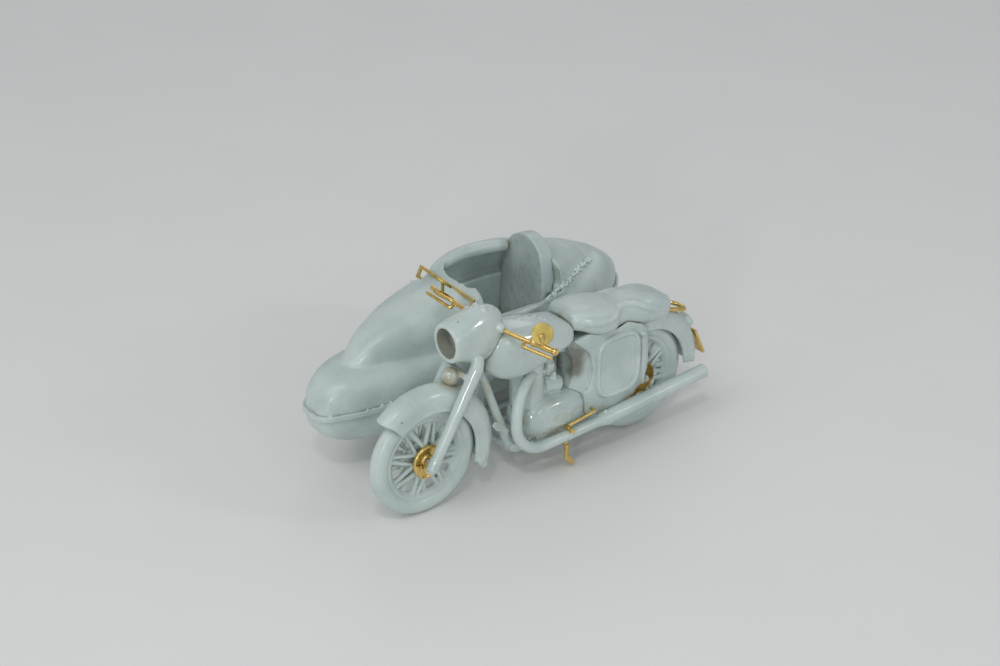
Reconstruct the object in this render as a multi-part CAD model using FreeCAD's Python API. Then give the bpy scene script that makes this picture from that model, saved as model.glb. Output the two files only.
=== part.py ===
import FreeCAD, Part

import functools
import math
import os

# Unpainted 1:72 scale model of a motorcycle with a sidecar: pale resin castings
# with bars, levers and brackets of thin etched brass. Millimetres, +X forward,
# +Y to the rider's left, +Z up. The pieces are drawn about the point on the floor
# midway between the motorcycle's axles, and moved to the middle of the model's
# footprint when they are written.

Vec = FreeCAD.Vector
AXIS_X = Vec(1, 0, 0)
AXIS_Y = Vec(0, 1, 0)
AXIS_Z = Vec(0, 0, 1)
HERE = Vec(0, 0, 0)
OVAL_POINTS = 16

# Middle of the model's footprint, from the point midway between the axles
FOOTPRINT_X = -1.15
FOOTPRINT_Y = -5.61

# Driving dimensions of the whole model
WHEELBASE = 18.3
WHEEL_RADIUS = 4.06
RAKE_DEG = 30.5
SIDECAR_TRACK = 15.5
SIDECAR_WHEEL_LEAD = 3.1
BODY_CENTRE_Y = -8.3
BODY_TOE_IN_DEG = 3.15

# Clearances, and the overrun of the cuts
RUNNING_GAP = 0.03
SIDE_GAP = 0.05
OVERRUN = 1.0

# Wheels: tyre, rim, hub and crossed spokes in one casting
TYRE_WIDTH = 1.14
BEAD_RADIUS = 2.96
RIM_INNER_RADIUS = 2.62
RIM_WIDTH = 0.86
RIM_WELL_WIDTH = 0.44
HUB_RADIUS = 0.46
HUB_FLANGE_RADIUS = 0.74
HUB_FLANGE_THICKNESS = 0.12
HUB_WIDTH = 0.90
SPOKE_RADIUS = 0.065
SPOKE_COUNT = 32
SPOKE_SIDES = 5
SPOKE_LEAN_DEG = 32.0
AXLE_RADIUS = 0.17

# Front fork, set on the rake line through the front axle
FORK_HALF_SPACING = 1.30
FORK_SLIDER_RADIUS = 0.29
FORK_SHROUD_RADIUS = 0.39
FORK_LUG_RADIUS = 0.42
FORK_LUG_DROP = 0.62
FORK_SLIDER_LENGTH = 3.3
FORK_SHROUD_LENGTH = 3.9
YOKE_ALONG = 5.9
YOKE_DEPTH = 0.9
YOKE_THICKNESS = 0.4
HORN_ALONG = 6.05
HORN_AHEAD = 0.75
HORN_RADIUS = 0.62

# Front mudguard
GUARD_CREST_RADIUS = 5.15
GUARD_SETBACK = 0.28
GUARD_HALF_WIDTH = 0.92
GUARD_WALL = 0.20
GUARD_END_RADIUS = 1.05
GUARD_SIDE_RADIUS = 3.5
GUARD_FRONT_DEG = 48.5
GUARD_REAR_DEG = 201.0

# Headlamp nacelle with its empty lamp socket
NACELLE_FRONT_X = 7.15
NACELLE_REAR_X = 2.75
NACELLE_CENTRE_Z = 11.75
NACELLE_RIM_RADIUS = 1.28
SOCKET_RADIUS = 1.0
SOCKET_DEPTH = 1.1
NACELLE_POWER = 2.2
# Share along from the rim, half width, bottom and top in rim radii
NACELLE_SHARES = [
    (0.00, 1.00, -1.00, 1.00), (0.04, 1.03, -1.05, 1.05), (0.22, 1.06, -1.25, 1.28), (0.45, 1.02, -1.55, 1.45),
    (0.68, 0.90, -1.50, 1.45), (0.88, 0.66, -1.20, 1.20), (0.97, 0.42, -0.85, 0.85), (1.00, 0.25, -0.55, 0.55),
]

# Tank
TANK_FRONT_X = 4.35
TANK_LENGTH = 6.75
TANK_HALF_WIDTH = 1.78
TANK_BOTTOM_Z = 7.95
TANK_HEIGHT = 3.75
TANK_POWER = 3.2
# Share along from the front, half width, bottom and top
TANK_SHARES = [
    (0.00, 0.30, 0.36, 0.74), (0.04, 0.55, 0.22, 0.86), (0.15, 0.84, 0.06, 0.97), (0.36, 1.00, 0.00, 1.00),
    (0.60, 0.98, 0.08, 0.94), (0.82, 0.90, 0.20, 0.84), (0.96, 0.84, 0.29, 0.76), (1.00, 0.74, 0.34, 0.70),
]

# Dual seat
SEAT_FRONT_X = -2.3
SEAT_LENGTH = 9.3
SEAT_HALF_WIDTH = 1.78
SEAT_BOTTOM_Z = 8.10
SEAT_HEIGHT = 3.4
SEAT_POWER = 3.6
SEAT_SHARES = [
    (0.00, 0.62, 0.62, 0.86), (0.02, 0.78, 0.56, 0.96), (0.08, 0.88, 0.50, 0.99), (0.20, 0.98, 0.33, 0.97),
    (0.30, 1.00, 0.26, 0.92), (0.40, 0.93, 0.25, 0.86), (0.50, 0.80, 0.24, 0.80), (0.60, 0.83, 0.18, 0.80),
    (0.74, 0.96, 0.11, 0.78), (0.86, 0.96, 0.08, 0.69), (0.94, 0.80, 0.10, 0.58), (0.985, 0.56, 0.16, 0.46),
    (1.00, 0.34, 0.22, 0.38),
]

# Frame tubes
TUBE_RADIUS = 0.30
TUBE_BEND = 0.8
RAIL_HALF_SPACING = 0.72
HEAD_RADIUS = 0.42
HEAD_LENGTH = 1.7
HEAD_X = 4.75
HEAD_Z = 9.05
CRADLE_FRONT_X = 2.1
CRADLE_REAR_X = -4.5
CRADLE_Z = 2.45
POST_TOP_X = -5.0
BACKBONE_REAR_X = -5.0
BACKBONE_Z = 7.75
RAIL_REAR_Z = 8.95
RAIL_REAR_SETBACK = 1.0

# Engine
CASE_CENTRE_X = -1.1
CASE_CENTRE_Z = 4.1
CASE_LENGTH = 5.3
CASE_HEIGHT = 3.0
CASE_HALF_WIDTH = 1.75
CASE_TAPER_SHARE = 0.04
CASE_POWER = 2.7
# Share across from the middle, size of the section
CASE_DOME_SHARES = [
    (-1.00, 0.20), (-0.98, 0.42), (-0.92, 0.64), (-0.80, 0.83), (-0.55, 0.96), (0.00, 1.00), (0.55, 0.96),
    (0.80, 0.83), (0.92, 0.64), (0.98, 0.42), (1.00, 0.20),
]
CYLINDER_X = 0.55
CYLINDER_RADIUS = 1.15
CYLINDER_TOP_Z = 8.4
FIN_COUNT = 6
FIN_DEPTH = 0.12
FIN_THICKNESS = 0.18
CARB_X = -1.35
CARB_Z = 7.0
CARB_RADIUS = 0.42
CARB_HEIGHT = 1.3
CARB_NECK_RADIUS = 0.30

# Exhausts
HEADER_RADIUS = 0.38
HEADER_BEND = 2.3
HEADER_TOP_Z = 7.75
HEADER_FRONT_X = 2.98
HEADER_BOTTOM_Z = 2.68
PORT_Y = 0.75
SILENCER_RADIUS = 0.51
SILENCER_WALL = 0.14
SILENCER_MOUTH = 0.6
SILENCER_NECK = 0.5
SILENCER_FRONT_X = -4.75
SILENCER_FRONT_Z = 2.95
SILENCER_END_X = -13.95
SILENCER_END_Z = 3.6
SILENCER_Y = 2.05

# Side boxes under the seat
BOX_FRONT_X = -2.60
BOX_LENGTH = 6.5
BOX_BOTTOM_Z = 3.65
BOX_HEIGHT = 5.9
BOX_INNER_Y = 1.08
BOX_PANEL_Y = 1.42
COVER_PROUD = 0.22
COVER_LENGTH = 3.95
COVER_HEIGHT = 4.7
COVER_POWER = 3.6
COVER_CENTRE_X = -6.2
COVER_CENTRE_Z = 6.5
# Outline from the front top corner, as shares of length and height
BOX_SHARES = [
    (0.00, 0.97), (0.30, 1.00), (0.70, 0.97), (0.93, 0.84), (1.00, 0.52), (0.98, 0.20), (0.86, 0.03),
    (0.55, 0.00), (0.26, 0.02), (0.17, 0.12), (0.17, 0.25), (0.235, 0.42), (0.225, 0.60), (0.13, 0.80),
]
AIR_BOX_FRONT_X = -2.05
AIR_BOX_REAR_X = -4.55
AIR_BOX_BOTTOM_Z = 4.6
AIR_BOX_TOP_Z = 9.3
AIR_BOX_FRONT_HALF = 0.55
AIR_BOX_HOLLOW = 0.7

# Rear fork, dampers and rear mudguard
ARM_RADIUS = 0.28
ARM_HALF_SPACING = 0.98
PIVOT_X = -3.9
PIVOT_Z = 4.1
SHOCK_Y = 1.0
SHOCK_AHEAD = 0.25
SHOCK_TOP_X = -8.3
SHOCK_TOP_Z = 7.9
SHOCK_RADIUS = 0.22
SHOCK_COVER_RADIUS = 0.30
SHOCK_COVER_SHARE = 0.6
REAR_GUARD_RADIUS = 5.15
REAR_GUARD_SETBACK = 0.33
REAR_GUARD_SIDE_RADIUS = 3.62
REAR_GUARD_FRONT_DEG = 38.0
REAR_GUARD_REAR_DEG = 188.0
TAIL_LAMP_DEG = 147.0
TAIL_LAMP_RADIUS = 0.62
TAIL_LAMP_LENGTH = 0.42

# Sidecar body
BODY_NOSE_X = 12.75
BODY_LENGTH = 27.25
BODY_HALF_WIDTH = 4.15
BODY_BOTTOM_Z = 2.45
BODY_HEIGHT = 8.0
BODY_POWER_LOW = 3.4
BODY_POWER_HIGH = 3.4
# Share along from the nose, keel, half width, deck
BODY_SHARES = [
    (0.000, 0.23, 0.16, 0.40), (0.006, 0.19, 0.25, 0.45), (0.016, 0.13, 0.33, 0.52), (0.042, 0.07, 0.43, 0.61),
    (0.080, 0.03, 0.555, 0.655), (0.120, 0.01, 0.65, 0.665), (0.170, 0.00, 0.72, 0.67), (0.240, 0.00, 0.79, 0.68),
    (0.320, 0.00, 0.86, 0.70), (0.450, 0.00, 0.95, 0.75), (0.560, 0.00, 0.99, 0.79), (0.660, 0.01, 1.00, 0.83),
    (0.760, 0.04, 0.96, 0.88), (0.840, 0.08, 0.85, 0.92), (0.900, 0.14, 0.70, 0.93), (0.945, 0.22, 0.53, 0.87),
    (0.978, 0.32, 0.34, 0.77), (0.994, 0.40, 0.18, 0.67), (1.000, 0.46, 0.08, 0.62),
]
BELT_NOSE_SHARE = 0.33
BELT_TAIL_SHARE = 0.57
BELT_HEIGHT = 0.42
BELT_PROUD = 0.16
COWL_FRONT_X = 10.15
COWL_LENGTH = 22.3
COWL_HALF_WIDTH = 3.95
COWL_RISE = 1.70
COWL_BASE_SHARE = 0.55
COWL_POWER = 4.0
# Share along from the front, half width and top
COWL_SHARES = [
    (0.000, 0.08, 0.08), (0.011, 0.18, 0.19), (0.038, 0.27, 0.305), (0.060, 0.33, 0.40), (0.128, 0.45, 0.58),
    (0.195, 0.57, 0.686), (0.262, 0.68, 0.743), (0.365, 0.81, 0.77), (0.410, 0.86, 0.78), (0.446, 0.90, 0.876),
    (0.482, 0.93, 0.96), (0.545, 0.96, 1.00), (0.603, 0.97, 0.995), (0.657, 0.965, 0.97), (0.724, 0.93, 0.914),
    (0.785, 0.87, 0.81), (0.892, 0.69, 0.733), (0.948, 0.52, 0.667), (0.986, 0.32, 0.58), (1.000, 0.18, 0.50),
]
COCKPIT_FRONT_X = 0.55
COCKPIT_LENGTH = 7.5
COCKPIT_HALF_WIDTH = 3.2
COCKPIT_FLOOR_Z = 4.1
COCKPIT_POWER = 3.4
LEDGE_Z = 8.75
LEDGE_WIDTH = 0.55
COAMING_WIDTH = 1.1
COAMING_DEPTH = 1.2
SILL_REAR_X = -6.9
SILL_FRONT_X = 0.2
SILL_FRONT_SHARE = 0.7625
SILL_REAR_SHARE = 0.86

# Sidecar seat and windscreen
BACK_X = -5.35
BACK_HALF_WIDTH = 2.38
BACK_HEIGHT = 8.45
BACK_THICKNESS = 1.15
BACK_LEAN_DEG = 4.4
BACK_POWER = 2.6
CUSHION_LENGTH = 4.6
CUSHION_HALF_WIDTH = 2.4
CUSHION_HEIGHT = 1.6
CUSHION_SHARES = [(0.0, 0.80, 0.55), (0.05, 0.95, 0.85), (0.3, 1.0, 1.0), (0.9, 1.0, 0.95), (1.0, 0.95, 0.90)]
SCREEN_HALF_WIDTH = 3.15
SCREEN_HEIGHT = 0.95
SCREEN_BAR = 0.22
SCREEN_LEAN_DEG = 25.0
SCREEN_ROLL_DEG = 2.0
SCREEN_X = 1.35
SCREEN_DROP = 1.95

# Sidecar chassis, under the body
CHASSIS_Z = 1.75
CHASSIS_HALF_WIDTH = 2.9
CHASSIS_FRONT_X = 7.0
CHASSIS_REAR_X = -9.0
STRUT_FRONT_X = 1.6
STRUT_REAR_X = -4.2
SIDE_ARM_OFFSET = 1.6
SIDE_AXLE_OVERHANG = 0.7
SIDE_GUARD_FRONT_DEG = 18.0
SIDE_GUARD_REAR_DEG = 176.0
SIDE_GUARD_RADIUS = 4.75
SIDE_GUARD_SIDE_RADIUS = 3.75
STAY_RADIUS = 0.2
CROSS_TUBE_RADIUS = 0.26
CROSS_TUBE_TAPER = 0.9
CHASSIS_POST_X = 5.2
CHASSIS_POST_Y = 1.6
CHASSIS_POST_RISE = 0.8

# Etched brass
BRASS_THICKNESS = 0.20
BAR_RADIUS = 0.16
BAR_BEND = 0.6
BAR_CENTRE_X = 3.82
BAR_Z = 12.1
BAR_HALF_SPAN = 5.35
BAR_SWEEP = 0.10
BAR_RISE = 0.15
BAR_YAW_DEG = 12.4
BAR_ROLL_DEG = 6.8
BAR_SHOULDER_Y = 1.9
MIRROR_RADIUS = 0.79
MIRROR_Y = 4.25
MIRROR_RISE = 0.95
MIRROR_LEFT_FACING = (0.55, 0.62, 0.56)
MIRROR_RIGHT_FACING = (-0.67, 0.0, 0.74)
STEM_RADIUS = 0.12
LEVER_GAP = 0.45
LEVER_LENGTH = 2.3
PLATE_RADIUS = 1.15
PLATE_THICKNESS = 0.15
STAND_X = -1.5
STAND_TOP_Z = 2.0
STAND_KNEE_Z = 0.9
STAND_FOOT_Z = 0.25
STAND_TOE = 0.6
STAND_RADIUS = 0.16
STAND_BEND = 0.3
STAND_HALF_SPACING = 1.85
PEG_X = -1.5
PEG_Z = 3.3
PEG_LENGTH = 0.9
PEDAL_LENGTH = 2.2
PEDAL_RISE = 0.7
RAIL_LOOP_REACH = 1.75
RAIL_LOOP_LENGTH = 2.3
RAIL_LOOP_Z = 8.10
RAIL_LOOP_FALL = 0.75
RAIL_LOOP_HALF_WIDTH = 0.7
NUMBER_PLATE_WIDTH = 1.0
NUMBER_PLATE_HEIGHT = 2.3
NUMBER_PLATE_X = -14.35
NUMBER_PLATE_Z = 5.95
NUMBER_PLATE_LEAN_DEG = 25.0

FRONT_X = WHEELBASE / 2
REAR_X = -WHEELBASE / 2
SIDE_X = REAR_X + SIDECAR_WHEEL_LEAD
SIDE_Y = -SIDECAR_TRACK
AXLE_Z = WHEEL_RADIUS
RAKE = math.radians(RAKE_DEG)
COWL_BASE_Z = BODY_BOTTOM_Z + BODY_HEIGHT * COWL_BASE_SHARE
COWL_TOP_Z = BODY_BOTTOM_Z + BODY_HEIGHT + COWL_RISE
COAMING_Z = COWL_TOP_Z - COAMING_DEPTH
SEAT_REAR_X = SEAT_FRONT_X - SEAT_LENGTH
RAIL_REAR_X = SEAT_REAR_X + RAIL_REAR_SETBACK
ARM_KNEE_Y = SIDE_Y + SIDE_ARM_OFFSET
SIDE_AXLE_END_Y = SIDE_Y - SIDE_AXLE_OVERHANG
UP_FORK = Vec(-math.sin(RAKE), 0, math.cos(RAKE))
FRONT_AXLE = Vec(FRONT_X, 0, AXLE_Z)
REAR_AXLE = Vec(REAR_X, 0, AXLE_Z)
SIDE_AXLE = Vec(SIDE_X, SIDE_Y, AXLE_Z)


def cylinder(radius, length, base, axis):
    return Part.makeCylinder(radius, length, base, axis)


def rod(points, radius, bend):
    """Round bar through the points, with arcs of the bend radius at its corners."""
    edges = []
    start = points[0]
    for before, corner, after in zip(points, points[1:], points[2:]):
        into = (corner - before).normalize()
        out = (after - corner).normalize()
        turn = into.getAngle(out)
        reach = bend * math.tan(turn / 2)
        first = corner - into * reach
        last = corner + out * reach
        side = (out - into).normalize()
        middle = corner + side * (bend / math.cos(turn / 2) - bend)
        edges.append(Part.LineSegment(start, first).toShape())
        edges.append(Part.Arc(first, middle, last).toShape())
        start = last
    edges.append(Part.LineSegment(start, points[-1]).toShape())
    ring = Part.Wire(Part.makeCircle(radius, points[0], points[1] - points[0]))
    return Part.Wire(edges).makePipeShell([ring], True, False)


def ring_spline(points):
    """Smooth closed curve through the points."""
    curve = Part.BSplineCurve()
    curve.interpolate(Points=points, PeriodicFlag=True)
    return Part.Wire(curve.toShape())


def loft(wires):
    return Part.makeLoft(wires, True, False)


def squircle(half_a, half_b, power):
    """Pairs round a superellipse, squarer with a higher power."""
    pairs = []
    for index in range(OVAL_POINTS):
        angle = 2 * math.pi * (index + 0.5) / OVAL_POINTS
        cos = math.cos(angle)
        sin = math.sin(angle)
        a = half_a * math.copysign(abs(cos) ** (2 / power), cos)
        b = half_b * math.copysign(abs(sin) ** (2 / power), sin)
        pairs.append((a, b))
    return pairs


def oval(x, centre_y, half_width, low, high, power):
    """Closed section across X."""
    middle = (low + high) / 2
    half_height = (high - low) / 2
    return ring_spline([Vec(x, centre_y + a, middle + b) for a, b in squircle(half_width, half_height, power)])


def oval_loft(front_x, length, half_width, bottom, height, shares, power):
    """Loft rearwards from the front through ovals given as shares of the three sizes."""
    wires = []
    for along, width, low, high in shares:
        x = front_x - length * along
        wires.append(oval(x, 0, half_width * width, bottom + height * low, bottom + height * high, power))
    return loft(wires)


def wheel_ring():
    """Tyre with its rim, turned about the axle."""
    section_radius = TYRE_WIDTH / 2
    belly = WHEEL_RADIUS - section_radius
    half_rim = RIM_WIDTH / 2
    half_well = RIM_WELL_WIDTH / 2
    rim_edge_radius = (RIM_INNER_RADIUS + BEAD_RADIUS) / 2
    well_left = Vec(RIM_INNER_RADIUS, half_well, 0)
    edge_left = Vec(rim_edge_radius, half_rim, 0)
    bead_left = Vec(BEAD_RADIUS, half_rim, 0)
    well_right = Vec(RIM_INNER_RADIUS, -half_well, 0)
    edge_right = Vec(rim_edge_radius, -half_rim, 0)
    bead_right = Vec(BEAD_RADIUS, -half_rim, 0)
    crown = Vec(WHEEL_RADIUS, 0, 0)
    edges = [
        Part.LineSegment(well_right, well_left).toShape(),
        Part.LineSegment(well_left, edge_left).toShape(),
        Part.LineSegment(edge_left, bead_left).toShape(),
        Part.Arc(bead_left, Vec(belly, section_radius, 0), crown).toShape(),
        Part.Arc(crown, Vec(belly, -section_radius, 0), bead_right).toShape(),
        Part.LineSegment(bead_right, edge_right).toShape(),
        Part.LineSegment(edge_right, well_right).toShape(),
    ]
    return Part.Face(Part.Wire(edges)).revolve(HERE, AXIS_Y, 360)


def spoke(foot_angle, head_angle, flange_y, head_y):
    foot_radius = HUB_FLANGE_RADIUS - 2 * SPOKE_RADIUS
    head_radius = (RIM_INNER_RADIUS + BEAD_RADIUS) / 2
    foot = Vec(foot_radius * math.cos(foot_angle), flange_y, foot_radius * math.sin(foot_angle))
    head = Vec(head_radius * math.cos(head_angle), head_y, head_radius * math.sin(head_angle))
    along = head - foot
    outline = []
    for index in range(SPOKE_SIDES):
        angle = 2 * math.pi * index / SPOKE_SIDES
        outline.append(Vec(SPOKE_RADIUS * math.cos(angle), SPOKE_RADIUS * math.sin(angle), 0))
    prism = Part.Face(Part.makePolygon(outline + outline[:1])).extrude(AXIS_Z * along.Length)
    prism.Placement = FreeCAD.Placement(foot, FreeCAD.Rotation(AXIS_Z, along))
    return prism


def wheel(centre):
    """Tyre and rim, hub with two flanges, crossed spokes and an open bore."""
    half_hub = HUB_WIDTH / 2
    pieces = [cylinder(HUB_RADIUS, HUB_WIDTH, -AXIS_Y * half_hub, AXIS_Y)]
    count = SPOKE_COUNT // 2
    for side in (-1, 1):
        flange_y = side * (half_hub - HUB_FLANGE_THICKNESS / 2)
        base = Vec(0, flange_y - HUB_FLANGE_THICKNESS / 2, 0)
        pieces.append(cylinder(HUB_FLANGE_RADIUS, HUB_FLANGE_THICKNESS, base, AXIS_Y))
        for index in range(count):
            lean = math.radians(SPOKE_LEAN_DEG if index % 2 else -SPOKE_LEAN_DEG)
            foot_angle = 2 * math.pi * (index + (side + 1) / 4) / count
            pieces.append(spoke(foot_angle, foot_angle + lean, flange_y, side * RIM_WELL_WIDTH / 4))
    solid = wheel_ring().multiFuse(pieces)
    reach = half_hub + OVERRUN
    solid = solid.cut(cylinder(AXLE_RADIUS + RUNNING_GAP, 2 * reach, -AXIS_Y * reach, AXIS_Y))
    solid.translate(centre)
    return solid


def axle_pin(centre, reach):
    return cylinder(AXLE_RADIUS, 2 * reach, centre - AXIS_Y * reach, AXIS_Y)


@functools.cache
def fork_leg(side):
    """Slider with the axle lug, and the wider shroud that runs up into the nacelle."""
    axle = FRONT_AXLE + AXIS_Y * side * FORK_HALF_SPACING
    slider = cylinder(FORK_SLIDER_RADIUS, FORK_SLIDER_LENGTH + FORK_LUG_DROP, axle - UP_FORK * FORK_LUG_DROP, UP_FORK)
    lug = cylinder(FORK_LUG_RADIUS, 2 * FORK_LUG_RADIUS, axle - UP_FORK * FORK_LUG_RADIUS, UP_FORK)
    shroud = cylinder(FORK_SHROUD_RADIUS, FORK_SHROUD_LENGTH, axle + UP_FORK * FORK_SLIDER_LENGTH, UP_FORK)
    return slider.multiFuse([lug, shroud]).cut(front_axle()).cut(nacelle())


@functools.cache
def front_axle():
    return axle_pin(FRONT_AXLE, FORK_HALF_SPACING + FORK_LUG_RADIUS)


@functools.cache
def fork_yoke():
    """Lower crossbar between the legs."""
    bar = Part.makeBox(YOKE_DEPTH, 2 * FORK_HALF_SPACING, YOKE_THICKNESS)
    bar.translate(Vec(-YOKE_DEPTH / 2, -FORK_HALF_SPACING, 0))
    bar.rotate(HERE, AXIS_Y, -RAKE_DEG)
    bar.translate(FRONT_AXLE + UP_FORK * YOKE_ALONG)
    return bar.cut(fork_leg(-1)).cut(fork_leg(1)).cut(nacelle()).cut(frame())


def horn():
    """Rounded cone of the horn between the fork legs, under the lamp."""
    centre = FRONT_AXLE + UP_FORK * HORN_ALONG + AXIS_X * HORN_AHEAD
    return Part.makeSphere(HORN_RADIUS, centre).cut(nacelle()).cut(fork_yoke()).cut(front_mudguard())


@functools.cache
def nacelle():
    """Lamp housing tapering back from the rim, with the blind socket for the lens."""
    length = NACELLE_FRONT_X - NACELLE_REAR_X
    rim = NACELLE_RIM_RADIUS
    body = oval_loft(NACELLE_FRONT_X, length, rim, NACELLE_CENTRE_Z, rim, NACELLE_SHARES, NACELLE_POWER)
    base = Vec(NACELLE_FRONT_X - SOCKET_DEPTH, 0, NACELLE_CENTRE_Z)
    return body.cut(cylinder(SOCKET_RADIUS, SOCKET_DEPTH + OVERRUN, base, AXIS_X)).cut(handlebar()).cut(frame())


def guard_end(crest_radius, end_deg, onward):
    """Corners to cut from a mudguard's end, so that it is round as seen from outside."""
    reach = 2 * crest_radius
    disc = cylinder(GUARD_END_RADIUS, reach, AXIS_Z * -GUARD_END_RADIUS * onward, AXIS_X)
    block = Part.makeBox(reach, 2 * reach, reach + GUARD_END_RADIUS)
    block.translate(Vec(0, -reach, -GUARD_END_RADIUS))
    if onward < 0:
        block.translate(-AXIS_Z * (reach - GUARD_END_RADIUS))
    corners = block.cut(disc)
    corners.rotate(HERE, AXIS_Y, -end_deg)
    return corners


def mudguard(axle, crest_radius, side_radius, front_deg, rear_deg):
    """Channel with a round crown, swept about the axle from the front angle to the rear one."""
    shoulder = crest_radius - GUARD_HALF_WIDTH
    outer = GUARD_HALF_WIDTH
    inner = GUARD_HALF_WIDTH - GUARD_WALL
    edges = [
        Part.LineSegment(Vec(side_radius, outer, 0), Vec(shoulder, outer, 0)).toShape(),
        Part.Arc(Vec(shoulder, outer, 0), Vec(crest_radius, 0, 0), Vec(shoulder, -outer, 0)).toShape(),
        Part.LineSegment(Vec(shoulder, -outer, 0), Vec(side_radius, -outer, 0)).toShape(),
        Part.LineSegment(Vec(side_radius, -outer, 0), Vec(side_radius, -inner, 0)).toShape(),
        Part.LineSegment(Vec(side_radius, -inner, 0), Vec(shoulder, -inner, 0)).toShape(),
        Part.Arc(Vec(shoulder, -inner, 0), Vec(shoulder + inner, 0, 0), Vec(shoulder, inner, 0)).toShape(),
        Part.LineSegment(Vec(shoulder, inner, 0), Vec(side_radius, inner, 0)).toShape(),
        Part.LineSegment(Vec(side_radius, inner, 0), Vec(side_radius, outer, 0)).toShape(),
    ]
    face = Part.Face(Part.Wire(edges))
    face.rotate(HERE, AXIS_Y, -front_deg)
    guard = face.revolve(HERE, -AXIS_Y, rear_deg - front_deg)
    for end_deg, onward in ((front_deg, -1), (rear_deg, 1)):
        guard = guard.cut(guard_end(crest_radius, end_deg, onward))
    guard.translate(axle)
    return guard


@functools.cache
def front_mudguard():
    """Guard set back from the axle, carried on a lug between the fork legs."""
    centre = FRONT_AXLE - AXIS_X * GUARD_SETBACK
    guard = mudguard(centre, GUARD_CREST_RADIUS, GUARD_SIDE_RADIUS, GUARD_FRONT_DEG, GUARD_REAR_DEG)
    lug_reach = FORK_HALF_SPACING - FORK_SLIDER_RADIUS / 2
    along = (GUARD_SIDE_RADIUS + GUARD_CREST_RADIUS) / 2
    foot = FRONT_AXLE + UP_FORK * along
    lug = axle_pin(foot, lug_reach)
    hollow = axle_pin(foot, GUARD_HALF_WIDTH - GUARD_WALL / 2)
    return guard.fuse(lug.cut(hollow)).cut(fork_leg(-1)).cut(fork_leg(1)).cut(fork_yoke())


@functools.cache
def tank():
    shell = oval_loft(TANK_FRONT_X, TANK_LENGTH, TANK_HALF_WIDTH, TANK_BOTTOM_Z, TANK_HEIGHT, TANK_SHARES, TANK_POWER)
    return shell.cut(nacelle()).cut(frame())


@functools.cache
def dual_seat():
    pad = oval_loft(SEAT_FRONT_X, SEAT_LENGTH, SEAT_HALF_WIDTH, SEAT_BOTTOM_Z, SEAT_HEIGHT, SEAT_SHARES, SEAT_POWER)
    return pad.cut(tank()).cut(frame())


@functools.cache
def frame():
    """Downtube, backbone, twin cradle rails and seat rails, joined at the steering head."""
    head_low = Vec(HEAD_X, 0, HEAD_Z)
    head = cylinder(HEAD_RADIUS, HEAD_LENGTH, head_low, UP_FORK)
    pieces = [
        rod([head_low + UP_FORK * TUBE_RADIUS, Vec(CRADLE_FRONT_X, 0, CRADLE_Z)], TUBE_RADIUS, TUBE_BEND),
        rod([head_low + UP_FORK * HEAD_LENGTH / 2, Vec(BACKBONE_REAR_X, 0, BACKBONE_Z)], TUBE_RADIUS, TUBE_BEND),
    ]
    for side in (-1, 1):
        y = side * RAIL_HALF_SPACING
        corners = [
            (CRADLE_FRONT_X, CRADLE_Z), (CRADLE_REAR_X, CRADLE_Z), (POST_TOP_X, BACKBONE_Z),
            (RAIL_REAR_X, RAIL_REAR_Z),
        ]
        pieces.append(rod([Vec(x, y, z) for x, z in corners], TUBE_RADIUS, TUBE_BEND))
    bridges = (
        (CRADLE_FRONT_X, CRADLE_Z), (CRADLE_REAR_X + TUBE_BEND, CRADLE_Z), (POST_TOP_X - TUBE_RADIUS, BACKBONE_Z),
    )
    for x, z in bridges:
        pieces.append(cylinder(TUBE_RADIUS, 2 * RAIL_HALF_SPACING, Vec(x, -RAIL_HALF_SPACING, z), AXIS_Y))
    return head.multiFuse(pieces)


@functools.cache
def case_solid():
    """Capsule-shaped case, a little fuller at the front, with domed covers on both sides."""
    wires = []
    for across, size in CASE_DOME_SHARES:
        half_length = CASE_LENGTH / 2 * size
        points = []
        for a, b in squircle(half_length, CASE_HEIGHT / 2 * size, CASE_POWER):
            taper = 1 + CASE_TAPER_SHARE * a / half_length
            points.append(Vec(CASE_CENTRE_X + a, CASE_HALF_WIDTH * across, CASE_CENTRE_Z + b * taper))
        wires.append(ring_spline(points))
    return loft(wires)


def crankcase():
    return case_solid().cut(frame()).cut(swingarm())


@functools.cache
def cylinder_block():
    """Finned barrel between the crankcase and the tank."""
    base_z = CASE_CENTRE_Z
    core = cylinder(CYLINDER_RADIUS - FIN_DEPTH, CYLINDER_TOP_Z - base_z, Vec(CYLINDER_X, 0, base_z), AXIS_Z)
    first = CASE_CENTRE_Z + CASE_HEIGHT / 2 + FIN_THICKNESS
    pitch = (CYLINDER_TOP_Z - first) / FIN_COUNT
    fins = []
    for index in range(FIN_COUNT):
        z = first + pitch * (index + 1) - FIN_THICKNESS
        fins.append(cylinder(CYLINDER_RADIUS, FIN_THICKNESS, Vec(CYLINDER_X, 0, z), AXIS_Z))
    return core.multiFuse(fins).cut(case_solid()).cut(frame()).cut(tank())


def carburettor():
    body = cylinder(CARB_RADIUS, CARB_HEIGHT, Vec(CARB_X, 0, CARB_Z - CARB_HEIGHT / 2), AXIS_Z)
    neck = cylinder(CARB_NECK_RADIUS, CYLINDER_X - CARB_X, Vec(CARB_X, 0, CARB_Z), AXIS_X)
    return body.fuse(neck).cut(cylinder_block())


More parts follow.
